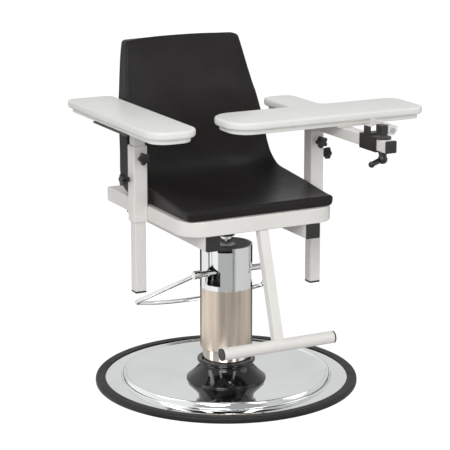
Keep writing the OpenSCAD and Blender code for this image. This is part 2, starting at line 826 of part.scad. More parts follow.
// The matching point of the outer surface
function outer_point(i, t) = let (q = station_shares[i]) [
    seat_half * q[4] * outer_share * t,
    -seat_front + shell_depth * q[5],
    shell_low + shell_rise * q[6]
];
module seat_shell() {
    n = 2 * across;
    ring = 2 * (n + 1);
    points = [for (i = [0:stations]) each concat(
        [for (j = [0:n]) front_point(i, (j - across) / across)],
        [for (j = [n:-1:0]) outer_point(i, (j - across) / across)])];
    last = stations * ring;
    faces = concat(
        [for (i = [0:stations - 1], j = [0:ring - 1]) let (a = i * ring + j,
            b = i * ring + (j + 1) % ring) each [[a, b, a + ring], [b, b + ring, a + ring]]],
        [for (j = [0:n - 1]) each
            [[j + 1, j, ring - 1 - j], [j + 1, ring - 1 - j, ring - 2 - j]]],
        [for (j = [0:n - 1]) each [[last + j, last + j + 1, last + ring - 1 - j],
            [last + j + 1, last + ring - 2 - j, last + ring - 1 - j]]]
    );
    color("#2d2a29") polyhedron(points, faces, convexity = 6);
}

// Footrest
module footrest_post() {
    top = [0, -frame_front + foot_post_w / 2, frame_z];
    foot = [0, -foot_post_y, foot_bar_z];
    d = foot - top;
    color("#dddad6") difference() {
        translate(top) rotate([atan2(d[1], -d[2]), 0, 0])
            translate([0, 0, -norm(d)]) linear_extrude(norm(d) + foot_post_w)
                tube_section(foot_post_w, tube_wall, tube_edge);
        translate([-foot_post_w, -2 * frame_front, frame_z])
            cube([2 * foot_post_w, 2 * frame_front, tube_w]);
        translate([-foot_post_w, foot[1], foot_bar_z]) rotate([0, 90, 0])
            cylinder(h = 2 * foot_post_w, d = foot_bar_dia);
        translate([-foot_post_w, foot[1] - foot_bar_dia, foot_bar_z - 2 * foot_bar_dia])
            cube([2 * foot_post_w, 2 * foot_bar_dia, 2 * foot_bar_dia]);
    }
}

module footrest_bar() {
    color("#e8e7e4") translate([-foot_bar_len / 2, -foot_post_y, foot_bar_z]) rotate([0, 90, 0])
        difference() {
            cylinder(h = foot_bar_len, d = foot_bar_dia);
            translate([0, 0, -over]) cylinder(h = foot_bar_len + 2 * over,
                d = foot_bar_dia - 2 * tube_wall);
        }
}

module footrest_caps() {
    color("#1d1b1a") for (s = [0, 1]) translate([0, -foot_post_y, foot_bar_z])
        rotate([0, 0, 180 * s]) translate([-foot_bar_len / 2, 0, 0]) rotate([0, 90, 0]) {
            translate([0, 0, -cap_lip]) cylinder(h = cap_lip, d = foot_bar_dia);
            translate([0, 0, -over])
                cylinder(h = cap_plug, d = foot_bar_dia - 2 * tube_wall - 2 * glide_gap);
        }
}

// Arm posts: side is -1 for the left post and 1 for the right one
module arm_sleeve(side, y, top, front_z, side_z) {
    color("#dddad6") difference() {
        tube_z(side * post_x, y, sleeve_low, top, tube_w, sleeve_wall);
        translate([side * post_x, y - tube_w, front_z]) rotate([-90, 0, 0])
            cylinder(h = tube_w, d = knob_screw_dia + 2 * fit);
        translate([side * post_x, y, side_z]) rotate([0, side * 90, 0])
            cylinder(h = tube_w, d = knob_screw_dia + 2 * fit);
    }
}

module left_sleeve() {
    arm_sleeve(-1, left_post_y, left_sleeve_top, left_front_knob_z, left_side_knob_z);
}

module right_sleeve() {
    arm_sleeve(1, -right_post_y, right_sleeve_top, right_front_knob_z, right_side_knob_z);
}

// Plastic guides between sleeve and post, at the sleeves' two ends
module glide(lip) {
    outer = tube_w - 2 * sleeve_wall - 2 * glide_gap;
    inner = post_w + 2 * glide_gap;
    difference() {
        union() {
            translate([0, 0, -glide_len]) linear_extrude(glide_len + over / 2)
                round_rect(outer, outer, tube_edge / 2);
            linear_extrude(lip) round_rect(tube_w - over, tube_w - over, tube_edge);
        }
        translate([0, 0, -glide_len - over]) linear_extrude(glide_len + lip + 2 * over)
            round_rect(inner, inner, tube_edge);
    }
}

module sleeve_glides() {
    color("#e3e2de") {
        translate([-post_x, left_post_y, left_sleeve_top]) glide(glide_lip);
        translate([-post_x, left_post_y, sleeve_low]) mirror([0, 0, 1]) glide(glide_lip);
        translate([post_x, -right_post_y, right_sleeve_top]) glide(glide_lip);
        translate([post_x, -right_post_y, sleeve_low]) mirror([0, 0, 1]) glide(glide_lip);
    }
}

module left_post() {
    color("#dddad6") tube_z(-post_x, left_post_y, left_post_low,
        left_board_z - slab_t - lip_t - left_plate_t, post_w, tube_wall);
}

module right_post() {
    color("#dddad6") tube_z(post_x, -right_post_y, right_post_low, arm_tube_z, post_w, tube_wall);
}

module post_cap() {
    inner = post_w - 2 * tube_wall - 2 * glide_gap;
    color("#262423") {
        translate([0, 0, -post_cap_t]) linear_extrude(post_cap_t) round_rect(post_w, post_w, tube_edge);
        linear_extrude(cap_plug) round_rect(inner, inner, tube_edge / 2);
    }
}

module left_post_cap() {
    translate([-post_x, left_post_y, left_post_low]) post_cap();
}

module right_post_cap() {
    translate([post_x, -right_post_y, right_post_low]) post_cap();
}

module left_board_plate() {
    top = left_board_z - slab_t - lip_t;
    color("#2b2a29") difference() {
        translate([-left_board_x - left_plate_w / 2, -left_plate_front, top - left_plate_t])
            cube([left_plate_w, left_plate_front + left_plate_rear, left_plate_t]);
        left_screw_places() translate([0, 0, top - left_plate_t - over])
            cylinder(h = left_plate_t + 2 * over, d = screw_dia + 2 * fit);
    }
}

module left_screw_places() {
    for (sx = [-1, 1], y = [left_screw_inset - left_plate_front, left_plate_rear - left_screw_inset])
        translate([-left_board_x + sx * left_screw_x, y, 0]) children();
}

// A board from a list of rounded boxes, each [x0, x1, y0, y1, r1, r2, r3, r4], its corners
// counted anticlockwise from the left front. The slab's edge is rounded over in two steps.
module corner_box(b, inset) {
    x0 = b[0] + inset;
    x1 = b[1] - inset;
    y0 = b[2] + inset;
    y1 = b[3] - inset;
    r = [for (i = [4:7]) max(b[i] - inset, over)];
    union() {
        difference() {
            translate([x0, y0]) square([x1 - x0, y1 - y0]);
            translate([x0 - over, y0 - over]) square(r[0] + over);
            translate([x1 - r[1], y0 - over]) square(r[1] + over);
            translate([x1 - r[2], y1 - r[2]]) square(r[2] + over);
            translate([x0 - over, y1 - r[3]]) square(r[3] + over);
        }
        translate([x0 + r[0], y0 + r[0]]) circle(r[0]);
        translate([x1 - r[1], y0 + r[1]]) circle(r[1]);
        translate([x1 - r[2], y1 - r[2]]) circle(r[2]);
        translate([x0 + r[3], y1 - r[3]]) circle(r[3]);
    }
}

module left_board() {
    edge = [-left_board_x - left_board_w / 2, -left_board_x + left_board_w / 2, -left_board_front,
        left_board_rear, front_corner, front_corner * inner_corner_share, rear_corner, rear_corner];
    low = left_board_z - slab_t - lip_t;
    color("#e0e0dc") difference() {
        union() {
            translate([0, 0, low]) linear_extrude(lip_t + over) corner_box(edge, lip_inset);
            translate([0, 0, low + lip_t]) linear_extrude(slab_t) corner_box(edge, board_edge / 2);
            translate([0, 0, low + lip_t + board_edge / 2]) linear_extrude(slab_t - board_edge)
                corner_box(edge, 0);
        }
        left_screw_places() translate([0, 0, low - over])
            cylinder(h = lip_t + over, d = screw_dia + 2 * fit);
    }
}

module left_board_screws() {
    low = left_board_z - slab_t - lip_t;
    color("#8b8d90") left_screw_places() {
        translate([0, 0, low - left_plate_t - screw_head]) cylinder(h = screw_head, d = screw_head_dia);
        translate([0, 0, low - left_plate_t - over]) cylinder(h = left_plate_t + lip_t, d = screw_dia);
    }
}

// Flip arm
module forward_tube() {
    color("#dddad6") tube_y(arm_x, arm_tube_z + tube30 / 2, -arm_tube_front,
        -right_post_y + tube30 / 2, tube30, tube_wall);
}

module forward_tube_caps() {
    color("#262423") {
        translate([arm_x, -arm_tube_front, arm_tube_z + tube30 / 2])
            tube_cap(tube30, tube_wall, cap_lip);
        translate([arm_x, -right_post_y + tube30 / 2, arm_tube_z + tube30 / 2]) rotate([0, 0, 180])
            tube_cap(tube30, tube_wall, cap_lip);
    }
}

// The sliding sleeve, the saddle on it whose block carries the hinge's lug, and the disc and boss
// in front that hold the lever's screw
module flip_clamp() {
    hole = tube30 + 2 * clamp_slip;
    outer = hole + 2 * clamp_wall;
    mid_z = arm_tube_z + tube30 / 2;
    saddle_z = mid_z + hole / 2;
    saddle_right = hinge_x - knuckle_r - over;
    saddle_left = arm_x - outer / 2;
    saddle_len = saddle_front - saddle_rear;
    color("#1f1e1d") difference() {
        union() {
            translate([saddle_left, -clamp_front, mid_z - outer / 2])
                cube([outer, clamp_len, outer]);
            translate([saddle_left, -saddle_front, saddle_z])
                cube([saddle_right - saddle_left, saddle_len, saddle_base]);
            translate([saddle_left, -saddle_front, saddle_z])
                cube([saddle_wall, saddle_len, saddle_h]);
            translate([saddle_right - saddle_block, -saddle_front, saddle_z - saddle_drop])
                cube([saddle_block, saddle_len, saddle_h + saddle_drop]);
            translate([saddle_right - over, -lug_front, hinge_z - knuckle_r / 2])
                cube([hinge_x - saddle_right + over, lug_front - saddle_rear, knuckle_r]);
            translate([hinge_x, -lug_front, hinge_z]) rotate([-90, 0, 0])
                cylinder(h = lug_front - saddle_rear, r = knuckle_r - lug_slim);
            translate([arm_x, -lever_screw_y, saddle_z]) cylinder(h = disc_t, r = disc_r);
            translate([arm_x - boss_r, -lever_screw_y, mid_z - outer / 2])
                cube([2 * boss_r, lever_screw_y - clamp_front + over, clamp_wall]);
            translate([arm_x, -lever_screw_y, boss_z])
                cylinder(h = mid_z - hole / 2 - boss_z, r = boss_r);
        }
        translate([arm_x - hole / 2, -clamp_front - disc_r, mid_z - hole / 2])
            cube([hole, 2 * clamp_len, hole]);
        translate([hinge_x, -saddle_front, hinge_z]) rotate([-90, 0, 0])
            cylinder(h = clamp_len, d = pin_dia + 2 * fit);
        translate([arm_x, -lever_screw_y, boss_z - over])
            cylinder(h = tube30, d = knob_screw_dia + 2 * fit);
    }
}

module hinge_pin() {
    head = over * 2;
    color("#b8babb") translate([hinge_x, 0, hinge_z]) rotate([90, 0, 0]) {
        translate([0, 0, hinge_rear - head]) cylinder(h = saddle_front - hinge_rear + 2 * head,
            d = pin_dia);
        for (y = [hinge_rear - head, saddle_front])
            translate([0, 0, y]) cylinder(h = head, r = pin_dia - over);
    }
}

// The plate under the board with a side bar forward to the hinge's two knuckles
module flip_carrier() {
    low = flip_board_z - slab_t - lip_t - carrier_t;
    bar_x = hinge_x + knuckle_r - lug_slim + over;
    color("#dddad6") difference() {
        union() {
            translate([carrier_left, -bar_front + lip_inset, low])
                cube([carrier_right - carrier_left, bar_front - lip_inset - carrier_back, carrier_t]);
            translate([hinge_x - carrier_t, -bar_front - lip_inset, low])
                cube([bar_x + side_bar_t - hinge_x + carrier_t, 2 * lip_inset + over, carrier_t]);
            translate([bar_x, -bar_front - lip_inset, low])
                cube([side_bar_t, lip_inset - gap, side_bar_high - low]);
            translate([bar_x, -saddle_front, side_bar_low])
                cube([side_bar_t, saddle_front - bar_front - gap, side_bar_high - side_bar_low]);
            translate([hinge_x, -saddle_front, hinge_z]) rotate([-90, 0, 0])
                cylinder(h = saddle_front - lug_front - gap, r = knuckle_r);
            translate([hinge_x, -saddle_rear + gap, hinge_z]) rotate([-90, 0, 0])
                cylinder(h = saddle_rear - gap - hinge_rear, r = knuckle_r);
        }
        translate([hinge_x, -saddle_front - over, hinge_z]) rotate([-90, 0, 0])
            cylinder(h = 2 * clamp_len, d = pin_dia + 2 * fit);
        flip_screw_places() translate([0, 0, low - over])
            cylinder(h = carrier_t + 2 * over, d = screw_dia + 2 * fit);
    }
}

module flip_screw_places() {
    for (x = [carrier_left + screw_head_dia, carrier_right - screw_head_dia],
            y = [-bar_front + 2 * lip_inset + screw_head_dia / 2, -carrier_back - screw_head_dia])
        translate([x, y, 0]) children();
}

module flip_board() {
    bar = [-bar_left, bar_right, -bar_front, -bar_back, bar_end_corner, bar_far_corner,
        bar_far_corner, bar_end_corner];
    wing = [wing_left, wing_right, -bar_front + bar_end_corner, wing_rear, over, over, wing_corner,
        wing_corner];
    low = flip_board_z - slab_t - lip_t;
    color("#e0e0dc") difference() {
        union() {
            for (b = [bar, wing]) {
                translate([0, 0, low]) linear_extrude(lip_t + over) corner_box(b, lip_inset);
                translate([0, 0, low + lip_t]) linear_extrude(slab_t) corner_box(b, board_edge / 2);
                translate([0, 0, low + lip_t + board_edge / 2]) linear_extrude(slab_t - board_edge)
                    corner_box(b, 0);
            }
            for (s = [-1, 1]) translate([s < 0 ? wing_left : wing_right, -bar_back, low + lip_t
                    + board_edge / 2])
                linear_extrude(slab_t - board_edge) difference() {
                    translate([s < 0 ? -wing_fillet : -over, -over])
                        square(wing_fillet + over);
                    translate([s * wing_fillet, wing_fillet]) circle(wing_fillet);
                }
        }
        flip_screw_places() translate([0, 0, low - over])
            cylinder(h = lip_t + over, d = screw_dia + 2 * fit);
    }
}

module flip_board_screws() {
    low = flip_board_z - slab_t - lip_t;
    color("#8b8d90") flip_screw_places()
        translate([0, 0, low - carrier_t + fit]) cylinder(h = carrier_t + lip_t - over, d = screw_dia);
}

module lever_screw() {
    color("#b8babb") translate([arm_x, -lever_screw_y, boss_z - lever_hub_h / 2])
        cylinder(h = arm_tube_z - gap - boss_z + lever_hub_h / 2, d = knob_screw_dia);
}

module clamp_lever() {
    hub_z = boss_z - gap - lever_hub_h;
    arm_z = hub_z + lever_hub_h / 2;
    droop = atan2(lever_drop, lever_len);
    color("#1b1a19") difference() {
        union() {
            translate([arm_x, -lever_screw_y, hub_z]) cylinder(h = lever_hub_h, r = lever_hub_r);
            translate([arm_x, -lever_screw_y, arm_z]) rotate([0, -90 - droop, 0]) {
                cylinder(h = lever_len, r = lever_r);
                translate([0, 0, lever_len])
                    cylinder(h = lever_tip, r1 = lever_r, r2 = lever_r * lever_tip_share);
            }
        }
        translate([arm_x, -lever_screw_y, boss_z - lever_hub_h / 2])
            cylinder(h = lever_hub_h, d = knob_screw_dia);
    }
}

// Star knobs: the screw's axis is +Z here and its tip is at the origin
module star_knob() {
    color("#1d1b1a") difference() {
        union() {
            cylinder(h = knob_t, r = knob_r * (1 - knob_lobe_share / 2));
            for (i = [0:knob_lobes - 1]) rotate([0, 0, i * 360 / knob_lobes])
                translate([knob_r * (1 - knob_lobe_share), 0, 0])
                    cylinder(h = knob_t, r = knob_r * knob_lobe_share);
            translate([0, 0, -knob_neck]) cylinder(h = knob_neck + over, r = knob_neck_r);
        }
        translate([0, 0, -knob_neck - over]) cylinder(h = knob_neck + knob_t / 2,
            d = knob_screw_dia);
    }
}

module knob_screw(len) {
    color("#c4c6c7") translate([0, 0, -len]) cylinder(h = len + knob_t / 2 - over - knob_neck,
        d = knob_screw_dia);
}

// Places the knob (or its screw) on a post's front face or outer face
module on_front(side, y, z) {
    translate([side * post_x, y - tube_w / 2 - knob_stand, z]) rotate([90, 0, 0]) children();
}

module on_side(side, y, z) {
    translate([side * (post_x + tube_w / 2 + knob_stand), y, z]) rotate([0, side * 90, 0]) children();
}

module left_front_knob() { on_front(-1, left_post_y, left_front_knob_z) star_knob(); }
module left_side_knob() { on_side(-1, left_post_y, left_side_knob_z) star_knob(); }
module right_front_knob() { on_front(1, -right_post_y, right_front_knob_z) star_knob(); }
module right_side_knob() { on_side(1, -right_post_y, right_side_knob_z) star_knob(); }
module left_front_screw() { on_front(-1, left_post_y, left_front_knob_z) knob_screw(screw_len); }
module left_side_screw() { on_side(-1, left_post_y, left_side_knob_z) knob_screw(screw_len); }
module right_front_screw() { on_front(1, -right_post_y, right_front_knob_z) knob_screw(screw_len); }
module right_side_screw() { on_side(1, -right_post_y, right_side_knob_z) knob_screw(screw_len); }

bumper_ring();
base_dish();
base_weight();
base_bell();
pump_flange();
base_bolts();
lower_collar();
column_sleeve();
pump_shroud();
shroud_cap();
pump_cylinder();
cylinder_gland();
pump_head();
axle_bushes();
pedal_axle();
pedal_loop();
pump_rocker();
pump_plunger();
ram_rod();
ram_piston();
seat_hub();
hub_bolts();
mount_plate();
left_rail();
right_rail();
rail_caps();
seat_frame();
seat_shell();
seat_screws();
footrest_post();
footrest_bar();
footrest_caps();
left_sleeve();
right_sleeve();
sleeve_glides();
left_post();
left_post_cap();
left_board_plate();
left_board();
left_board_screws();
right_post();
right_post_cap();
forward_tube();
forward_tube_caps();
flip_clamp();
hinge_pin();
flip_carrier();
flip_board();
flip_board_screws();
clamp_lever();
lever_screw();
left_front_knob();
left_side_knob();
right_front_knob();
right_side_knob();
left_front_screw();
left_side_screw();
right_front_screw();
right_side_screw();
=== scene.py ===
# Phlebotomy chair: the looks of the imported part, in metres, in the part's own frame.
# The sitter faces -Y, +X is the sitter's left, and the origin is the base's centre on the floor.
import bpy
import bmesh
import json
import math
import numpy as np
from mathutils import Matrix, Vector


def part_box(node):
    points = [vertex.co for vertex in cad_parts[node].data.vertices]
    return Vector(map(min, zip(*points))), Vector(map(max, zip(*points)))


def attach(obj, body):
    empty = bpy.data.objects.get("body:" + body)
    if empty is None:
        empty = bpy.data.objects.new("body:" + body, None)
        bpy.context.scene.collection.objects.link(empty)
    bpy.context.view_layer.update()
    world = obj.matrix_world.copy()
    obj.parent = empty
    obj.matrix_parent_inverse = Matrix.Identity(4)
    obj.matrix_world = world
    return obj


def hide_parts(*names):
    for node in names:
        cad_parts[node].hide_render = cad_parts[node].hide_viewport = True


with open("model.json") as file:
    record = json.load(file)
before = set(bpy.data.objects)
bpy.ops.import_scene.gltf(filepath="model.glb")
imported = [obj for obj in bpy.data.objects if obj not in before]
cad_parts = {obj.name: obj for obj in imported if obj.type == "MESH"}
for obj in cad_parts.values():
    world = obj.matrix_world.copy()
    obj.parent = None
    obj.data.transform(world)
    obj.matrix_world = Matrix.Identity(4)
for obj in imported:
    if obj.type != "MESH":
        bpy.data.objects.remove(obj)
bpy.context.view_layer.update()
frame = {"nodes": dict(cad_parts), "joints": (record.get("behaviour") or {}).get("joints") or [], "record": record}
scene = bpy.context.scene
nodes = frame["nodes"]
print("stage 1: frame loaded,", len(nodes), "nodes")


# Camera, lamps and room

cameraLook = {"place": (-2.0559, -3.9714, 1.538), "turn": (75.94, 0.0, -27.33), "lens": 142.96,
              "sensor": 36}
lampLooks = [
    {"name": "keySoftbox", "place": (-2.6, -3.2, 2.7), "aim": (0, 0, 0.5), "size": 2.4, "watts": 98},
    {"name": "rightFill", "place": (3.2, -2.2, 1.8), "aim": (0, 0, 0.5), "size": 2.4, "watts": 18},
    {"name": "topSoftbox", "place": (0.05, -0.7, 3.2), "aim": (0, 0, 0.5), "size": 0.8, "watts": 12},
]
roomLook = {
    "diffuseLevel": 0.52,        # what lights the object from all round
    "floorWhite": 1.17,          # what the camera sees on the floor before its shadow
    "shadowShare": 0.16,         # how much of the floor's shadow the camera sees
    # What metal sees all round, as (degrees from the camera's side to its right, level), of the
    # floor and of the room above it. The far side is dark on the floor and light grey above it,
    # the camera's left is the brightest and the camera's own side is grey.
    "lowRound": [(-180, 0.02), (-140, 0.02), (-130, 1.0), (-38, 1.1), (-32, 0.52), (38, 0.50),
                 (44, 0.74), (128, 0.70), (139, 0.02), (180, 0.02)],
    "highRound": [(-180, 0.78), (-140, 0.85), (-125, 1.1), (-38, 1.0), (-30, 0.45), (36, 0.42),
                  (46, 0.70), (128, 0.75), (140, 0.78), (180, 0.78)],
    # Heights of a look, 0 level and 1 straight up, between which the room above takes over from
    # the floor, and the dark ceiling from the room
    "roomStart": 0.02, "roomEnd": 0.06,
    "ceilingStart": 0.80, "ceilingEnd": 0.85, "ceilingLevel": 0.04,
    # Narrow bright lamps that gloss enamel shows as streaks: their (centre, half width) and soft
    # side in degrees, their level, and the heights over which they begin and end
    "strips": [(-78, 8), (-29, 5), (40, 7)], "stripSide": 2, "stripLevel": 4.5,
    "stripFoot": (0.45, 0.51), "stripHead": (0.89, 0.94),
}
floorLook = {"half": 9.0, "below": 0.0006, "colour": (0.70, 0.70, 0.70), "roughness": 0.9,
             "specular": 0.1}

cameraData = bpy.data.cameras.new("photoCamera")
camera = bpy.data.objects.new("photoCamera", cameraData)
scene.collection.objects.link(camera)
camera.location = cameraLook["place"]
camera.rotation_euler = [math.radians(angle) for angle in cameraLook["turn"]]
cameraData.sensor_width = cameraLook["sensor"]
cameraData.lens = cameraLook["lens"]
scene.camera = camera
scene.view_settings.view_transform = "Standard"

for lampLook in lampLooks:
    lampData = bpy.data.lights.new(lampLook["name"], "AREA")
    lampData.shape = "DISK"
    lampData.size = lampLook["size"]
    lampData.energy = lampLook["watts"]
    lamp = bpy.data.objects.new(lampLook["name"], lampData)
    scene.collection.objects.link(lamp)
    lamp.location = lampLook["place"]
    aim = np.array(lampLook["aim"]) - np.array(lampLook["place"])
    lamp.rotation_euler = (math.atan2(math.hypot(aim[0], aim[1]), -aim[2]), 0,
                           math.atan2(-aim[0], aim[1]))


# Node trees written as sums

def plug(socket, value):
    # Links a wire to a socket, or sets a plain value on it
    if isinstance(value, Wire):
        socket.id_data.links.new(value.socket, socket)
    elif isinstance(value, (tuple, list)) and len(value) == 3 and socket.type == "RGBA":
        socket.default_value = (*value, 1)
    else:
        socket.default_value = value


def setStops(stops, places):
    # Puts grey levels on a ramp, which starts with two stops
    for index, (place, level) in enumerate(places):
        stop = stops[index] if index < 2 else stops.new(place)
        stop.position = place
        stop.color = (level, level, level, 1)


class Wire:
    # One output socket. Sums of wires and numbers add Math nodes.
    def __init__(self, socket):
        self.socket = socket

    def node(self, kind, settings=None, sockets=None, output=0):
        # Adds a node of a kind to the tree, with its settings first and its sockets after them
        made = self.socket.id_data.nodes.new("ShaderNode" + kind)
        for name, value in (settings or {}).items():
            if name == "stops":
                setStops(made.color_ramp.elements, value)
            else:
                setattr(made, name, value)
        for name, value in (sockets or {}).items():
            plug(made.inputs[name], value)
        return Wire(made.outputs[output])

    def maths(self, operation, *terms):
        # One Math node on any number of wires and numbers
        return self.node("Math", {"operation": operation}, dict(enumerate(terms)))

    def axes(self):
        # Its X, Y and Z as three wires
        return [self.node("SeparateXYZ", {}, {"Vector": self}, axis) for axis in range(3)]

    def __add__(self, other): return self.maths("ADD", self, other)
    def __radd__(self, other): return self.maths("ADD", other, self)
    def __sub__(self, other): return self.maths("SUBTRACT", self, other)
    def __rsub__(self, other): return self.maths("SUBTRACT", other, self)
    def __mul__(self, other): return self.maths("MULTIPLY", self, other)
    def __rmul__(self, other): return self.maths("MULTIPLY", other, self)
    def __truediv__(self, other): return self.maths("DIVIDE", self, other)


def stepUp(wire, low, high):
    # 0 below low, 1 above high, and a smooth rise between them
    return wire.node("MapRange", {"interpolation_type": "SMOOTHSTEP"},
                     {"Value": wire, "From Min": low, "From Max": high, "To Min": 0.0, "To Max": 1.0})


def mixColours(share, first, second):
    # first where share is 0 and second where it is 1
    return share.node("Mix", {"data_type": "RGBA"}, {"Factor": share, 6: first, 7: second}, 2)


def greyOf(colour):
    # A colour as one number, its brightness
    return colour.node("RGBToBW", {}, {"Color": colour})


def noise(place, scale, detail=3.0, roughness=0.5):
    # Cloudy values about one half. One cloud is as wide as 1 / scale.
    return place.node("TexNoise", {}, {"Vector": place, "Scale": scale, "Detail": detail,
                                       "Roughness": roughness})


def stretched(place, scale):
    # The same place measured with a different scale along each axis
    return place.node("Mapping", {}, {"Vector": place, "Scale": scale})


def bump(height, distance, strength):
    # A normal for a surface that stands out by height times distance
    return height.node("Bump", {}, {"Height": height, "Distance": distance, "Strength": strength})


def newMaterial(name, fixed):
    # A material with one Principled shader, its fixed sockets set, and the Object coordinates
    material = bpy.data.materials.new(name)
    material.use_nodes = True
    tree = material.node_tree
    shader = tree.nodes["Principled BSDF"]
    for socket, value in fixed.items():
        plug(shader.inputs[socket], value)
    place = Wire(tree.nodes.new("ShaderNodeTexCoord").outputs["Object"])
    return material, shader.inputs, place


# The room: white to the camera, softer to metal, and a floor that keeps a faint shadow

def roundShare(x, y):
    # The angle of (x, y) round Z as a share of a full turn: one half on the camera's side, and
    # more towards the camera's right
    away = math.hypot(*cameraLook["place"][:2])
    aheadX, aheadY = (value / away for value in cameraLook["place"][:2])
    toAhead = x * aheadX + y * aheadY
    toRight = y * aheadX - x * aheadY
    return toRight.maths("ARCTAN2", toRight, toAhead) / (2 * math.pi) + 0.5


def ringLevel(share, ring):
    # The level of a ring of (degrees, level) at a share of a full turn
    stops = [((degrees + 180) / 360, level) for degrees, level in ring]
    return share.node("ValToRGB", {"stops": stops}, {"Fac": share})


world = bpy.data.worlds.new("studioWorld")
scene.world = world
world.use_nodes = True
worldTree = world.node_tree
rays = worldTree.nodes.new("ShaderNodeLightPath").outputs
cameraRay, glossRay, clearRay = (Wire(rays[kind]) for kind in (
    "Is Camera Ray", "Is Glossy Ray", "Is Transmission Ray"))
lookX, lookY, lookZ = Wire(worldTree.nodes.new("ShaderNodeTexCoord").outputs["Generated"]).axes()
share = roundShare(lookX, lookY)
glossLevel = greyOf(mixColours(stepUp(lookZ, roomLook["roomStart"], roomLook["roomEnd"]),
                               ringLevel(share, roomLook["lowRound"]),
                               ringLevel(share, roomLook["highRound"])))
overhead = stepUp(lookZ, roomLook["ceilingStart"], roomLook["ceilingEnd"])
glossLevel = glossLevel * (1 - overhead * (1 - roomLook["ceilingLevel"]))
inHeight = stepUp(lookZ, *roomLook["stripFoot"]) * (1 - stepUp(lookZ, *roomLook["stripHead"]))
for middle, half in roomLook["strips"]:
    aside = share * 360 - (middle + 180)
    past = stepUp(aside.maths("ABSOLUTE", aside), half - roomLook["stripSide"],
                  half + roomLook["stripSide"])
    glossLevel = glossLevel + (1 - past) * inHeight * roomLook["stripLevel"]
unseen = glossRay * glossLevel + clearRay + (1 - glossRay - clearRay) * roomLook["diffuseLevel"]
background = worldTree.nodes["Background"].inputs
plug(background["Strength"], cameraRay + (1 - cameraRay) * unseen)
plug(background["Color"], (1.0, 1.0, 1.0))


def gridMesh(name, points, wrapRows=False, wrapColumns=False, capRows=False):
    # A quad mesh on an array of points (rows, columns, 3). Wrapping joins the last line to the
    # first. Capping closes the first and last rows, each with one face.
    rows, columns = points.shape[:2]
    index = np.arange(rows * columns).reshape(rows, columns)
    down = np.roll(index, -1, 0) if wrapRows else index[1:]
    here = index if wrapRows else index[:-1]
    if not wrapColumns:
        quads = np.stack([here[:, :-1], here[:, 1:], down[:, 1:], down[:, :-1]], -1)
    else:
        quads = np.stack([here, np.roll(here, -1, 1), np.roll(down, -1, 1), down], -1)
    faces = quads.reshape(-1, 4).tolist()
    if capRows:
        faces += [index[0][::-1].tolist(), index[-1].tolist()]
    mesh = bpy.data.meshes.new(name)
    mesh.from_pydata(points.reshape(-1, 3).tolist(), [], faces)
    joined = bmesh.new()
    joined.from_mesh(mesh)
    bmesh.ops.remove_doubles(joined, verts=joined.verts, dist=1e-6)      # metres
    bmesh.ops.recalc_face_normals(joined, faces=joined.faces)
    joined.to_mesh(mesh)
    joined.free()
    mesh.shade_smooth()
    piece = bpy.data.objects.new(name, mesh)
    scene.collection.objects.link(piece)
    return piece


def finishPiece(piece, material, body, standsFor=()):
    # Gives a piece its material, the body it rides on and the CAD nodes that it stands for
    piece.data.materials.clear()
    piece.data.materials.append(material)
    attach(piece, body)
    if standsFor:
        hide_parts(*standsFor)


floorSide = np.linspace(-floorLook["half"], floorLook["half"], 3)
floorX, floorY = np.meshgrid(floorSide, floorSide)
floor = gridMesh("studioFloor", np.stack([floorX, floorY, 0 * floorX - floorLook["below"]], -1))
floorMaterial, _, floorPlace = newMaterial("paleFloor", {
    "Base Color": floorLook["colour"], "Roughness": floorLook["roughness"],
    "Specular IOR Level": floorLook["specular"]})
floorNodes = floorMaterial.node_tree.nodes
floorRays = floorNodes.new("ShaderNodeLightPath").outputs
floorCamera, floorGloss = Wire(floorRays["Is Camera Ray"]), Wire(floorRays["Is Glossy Ray"])
east, north, _ = floorPlace.axes()
floorRound = greyOf(ringLevel(roundShare(east, north), roomLook["lowRound"]))
glow = floorPlace.node("Emission", {}, {
    "Color": (1.0, 1.0, 1.0),
    "Strength": floorCamera * roomLook["floorWhite"] + floorGloss * floorRound})
lit = Wire(floorNodes["Principled BSDF"].outputs[0])
shown = floorPlace.node("MixShader", {}, {
    0: floorCamera * (1 - roomLook["shadowShare"]) + floorGloss, 1: lit, 2: glow})
plug(floorNodes["Material Output"].inputs["Surface"], shown)
floor.data.materials.append(floorMaterial)
print("stage 2: camera, lamps and floor")


# Finishes. In their dictionaries a pattern is (scale, detail, roughness) of a noise, a stretch is
# its scale along X, Y and Z, edges are the noise values between which something sets in, a sway
# is how much a pattern changes the roughness, and a depth is a bump's in metres.

def powderCoat(name, look):
    # Baked powder paint: an even colour with a fine orange-peel surface
    material, shader, place = newMaterial(name, {"Specular IOR Level": look["specular"]})
    cloud = noise(place, *look["cloud"])
    tone = stepUp(cloud, *look["cloudEdges"])
    plug(shader["Base Color"], mixColours(tone, look["colour"], look["shade"]))
    plug(shader["Roughness"], look["roughness"] + look["sway"] * (cloud - 0.5))
    plug(shader["Normal"], bump(noise(place, *look["peel"]), look["peelDepth"], look["strength"]))
    return material


def plastic(name, look):
    # Moulded plastic: a fine spark-eroded grain and faint handling marks in the gloss
    material, shader, place = newMaterial(name, {"Specular IOR Level": look["specular"]})
    tone = stepUp(noise(place, *look["cloud"]), *look["cloudEdges"])
    handled = noise(place, *look["handling"])
    plug(shader["Base Color"], mixColours(tone, look["colour"], look["shade"]))
    plug(shader["Roughness"], look["roughness"] + look["sway"] * (handled - 0.5))
    plug(shader["Normal"], bump(noise(place, *look["grain"]), look["grainDepth"], look["strength"]))
    return material


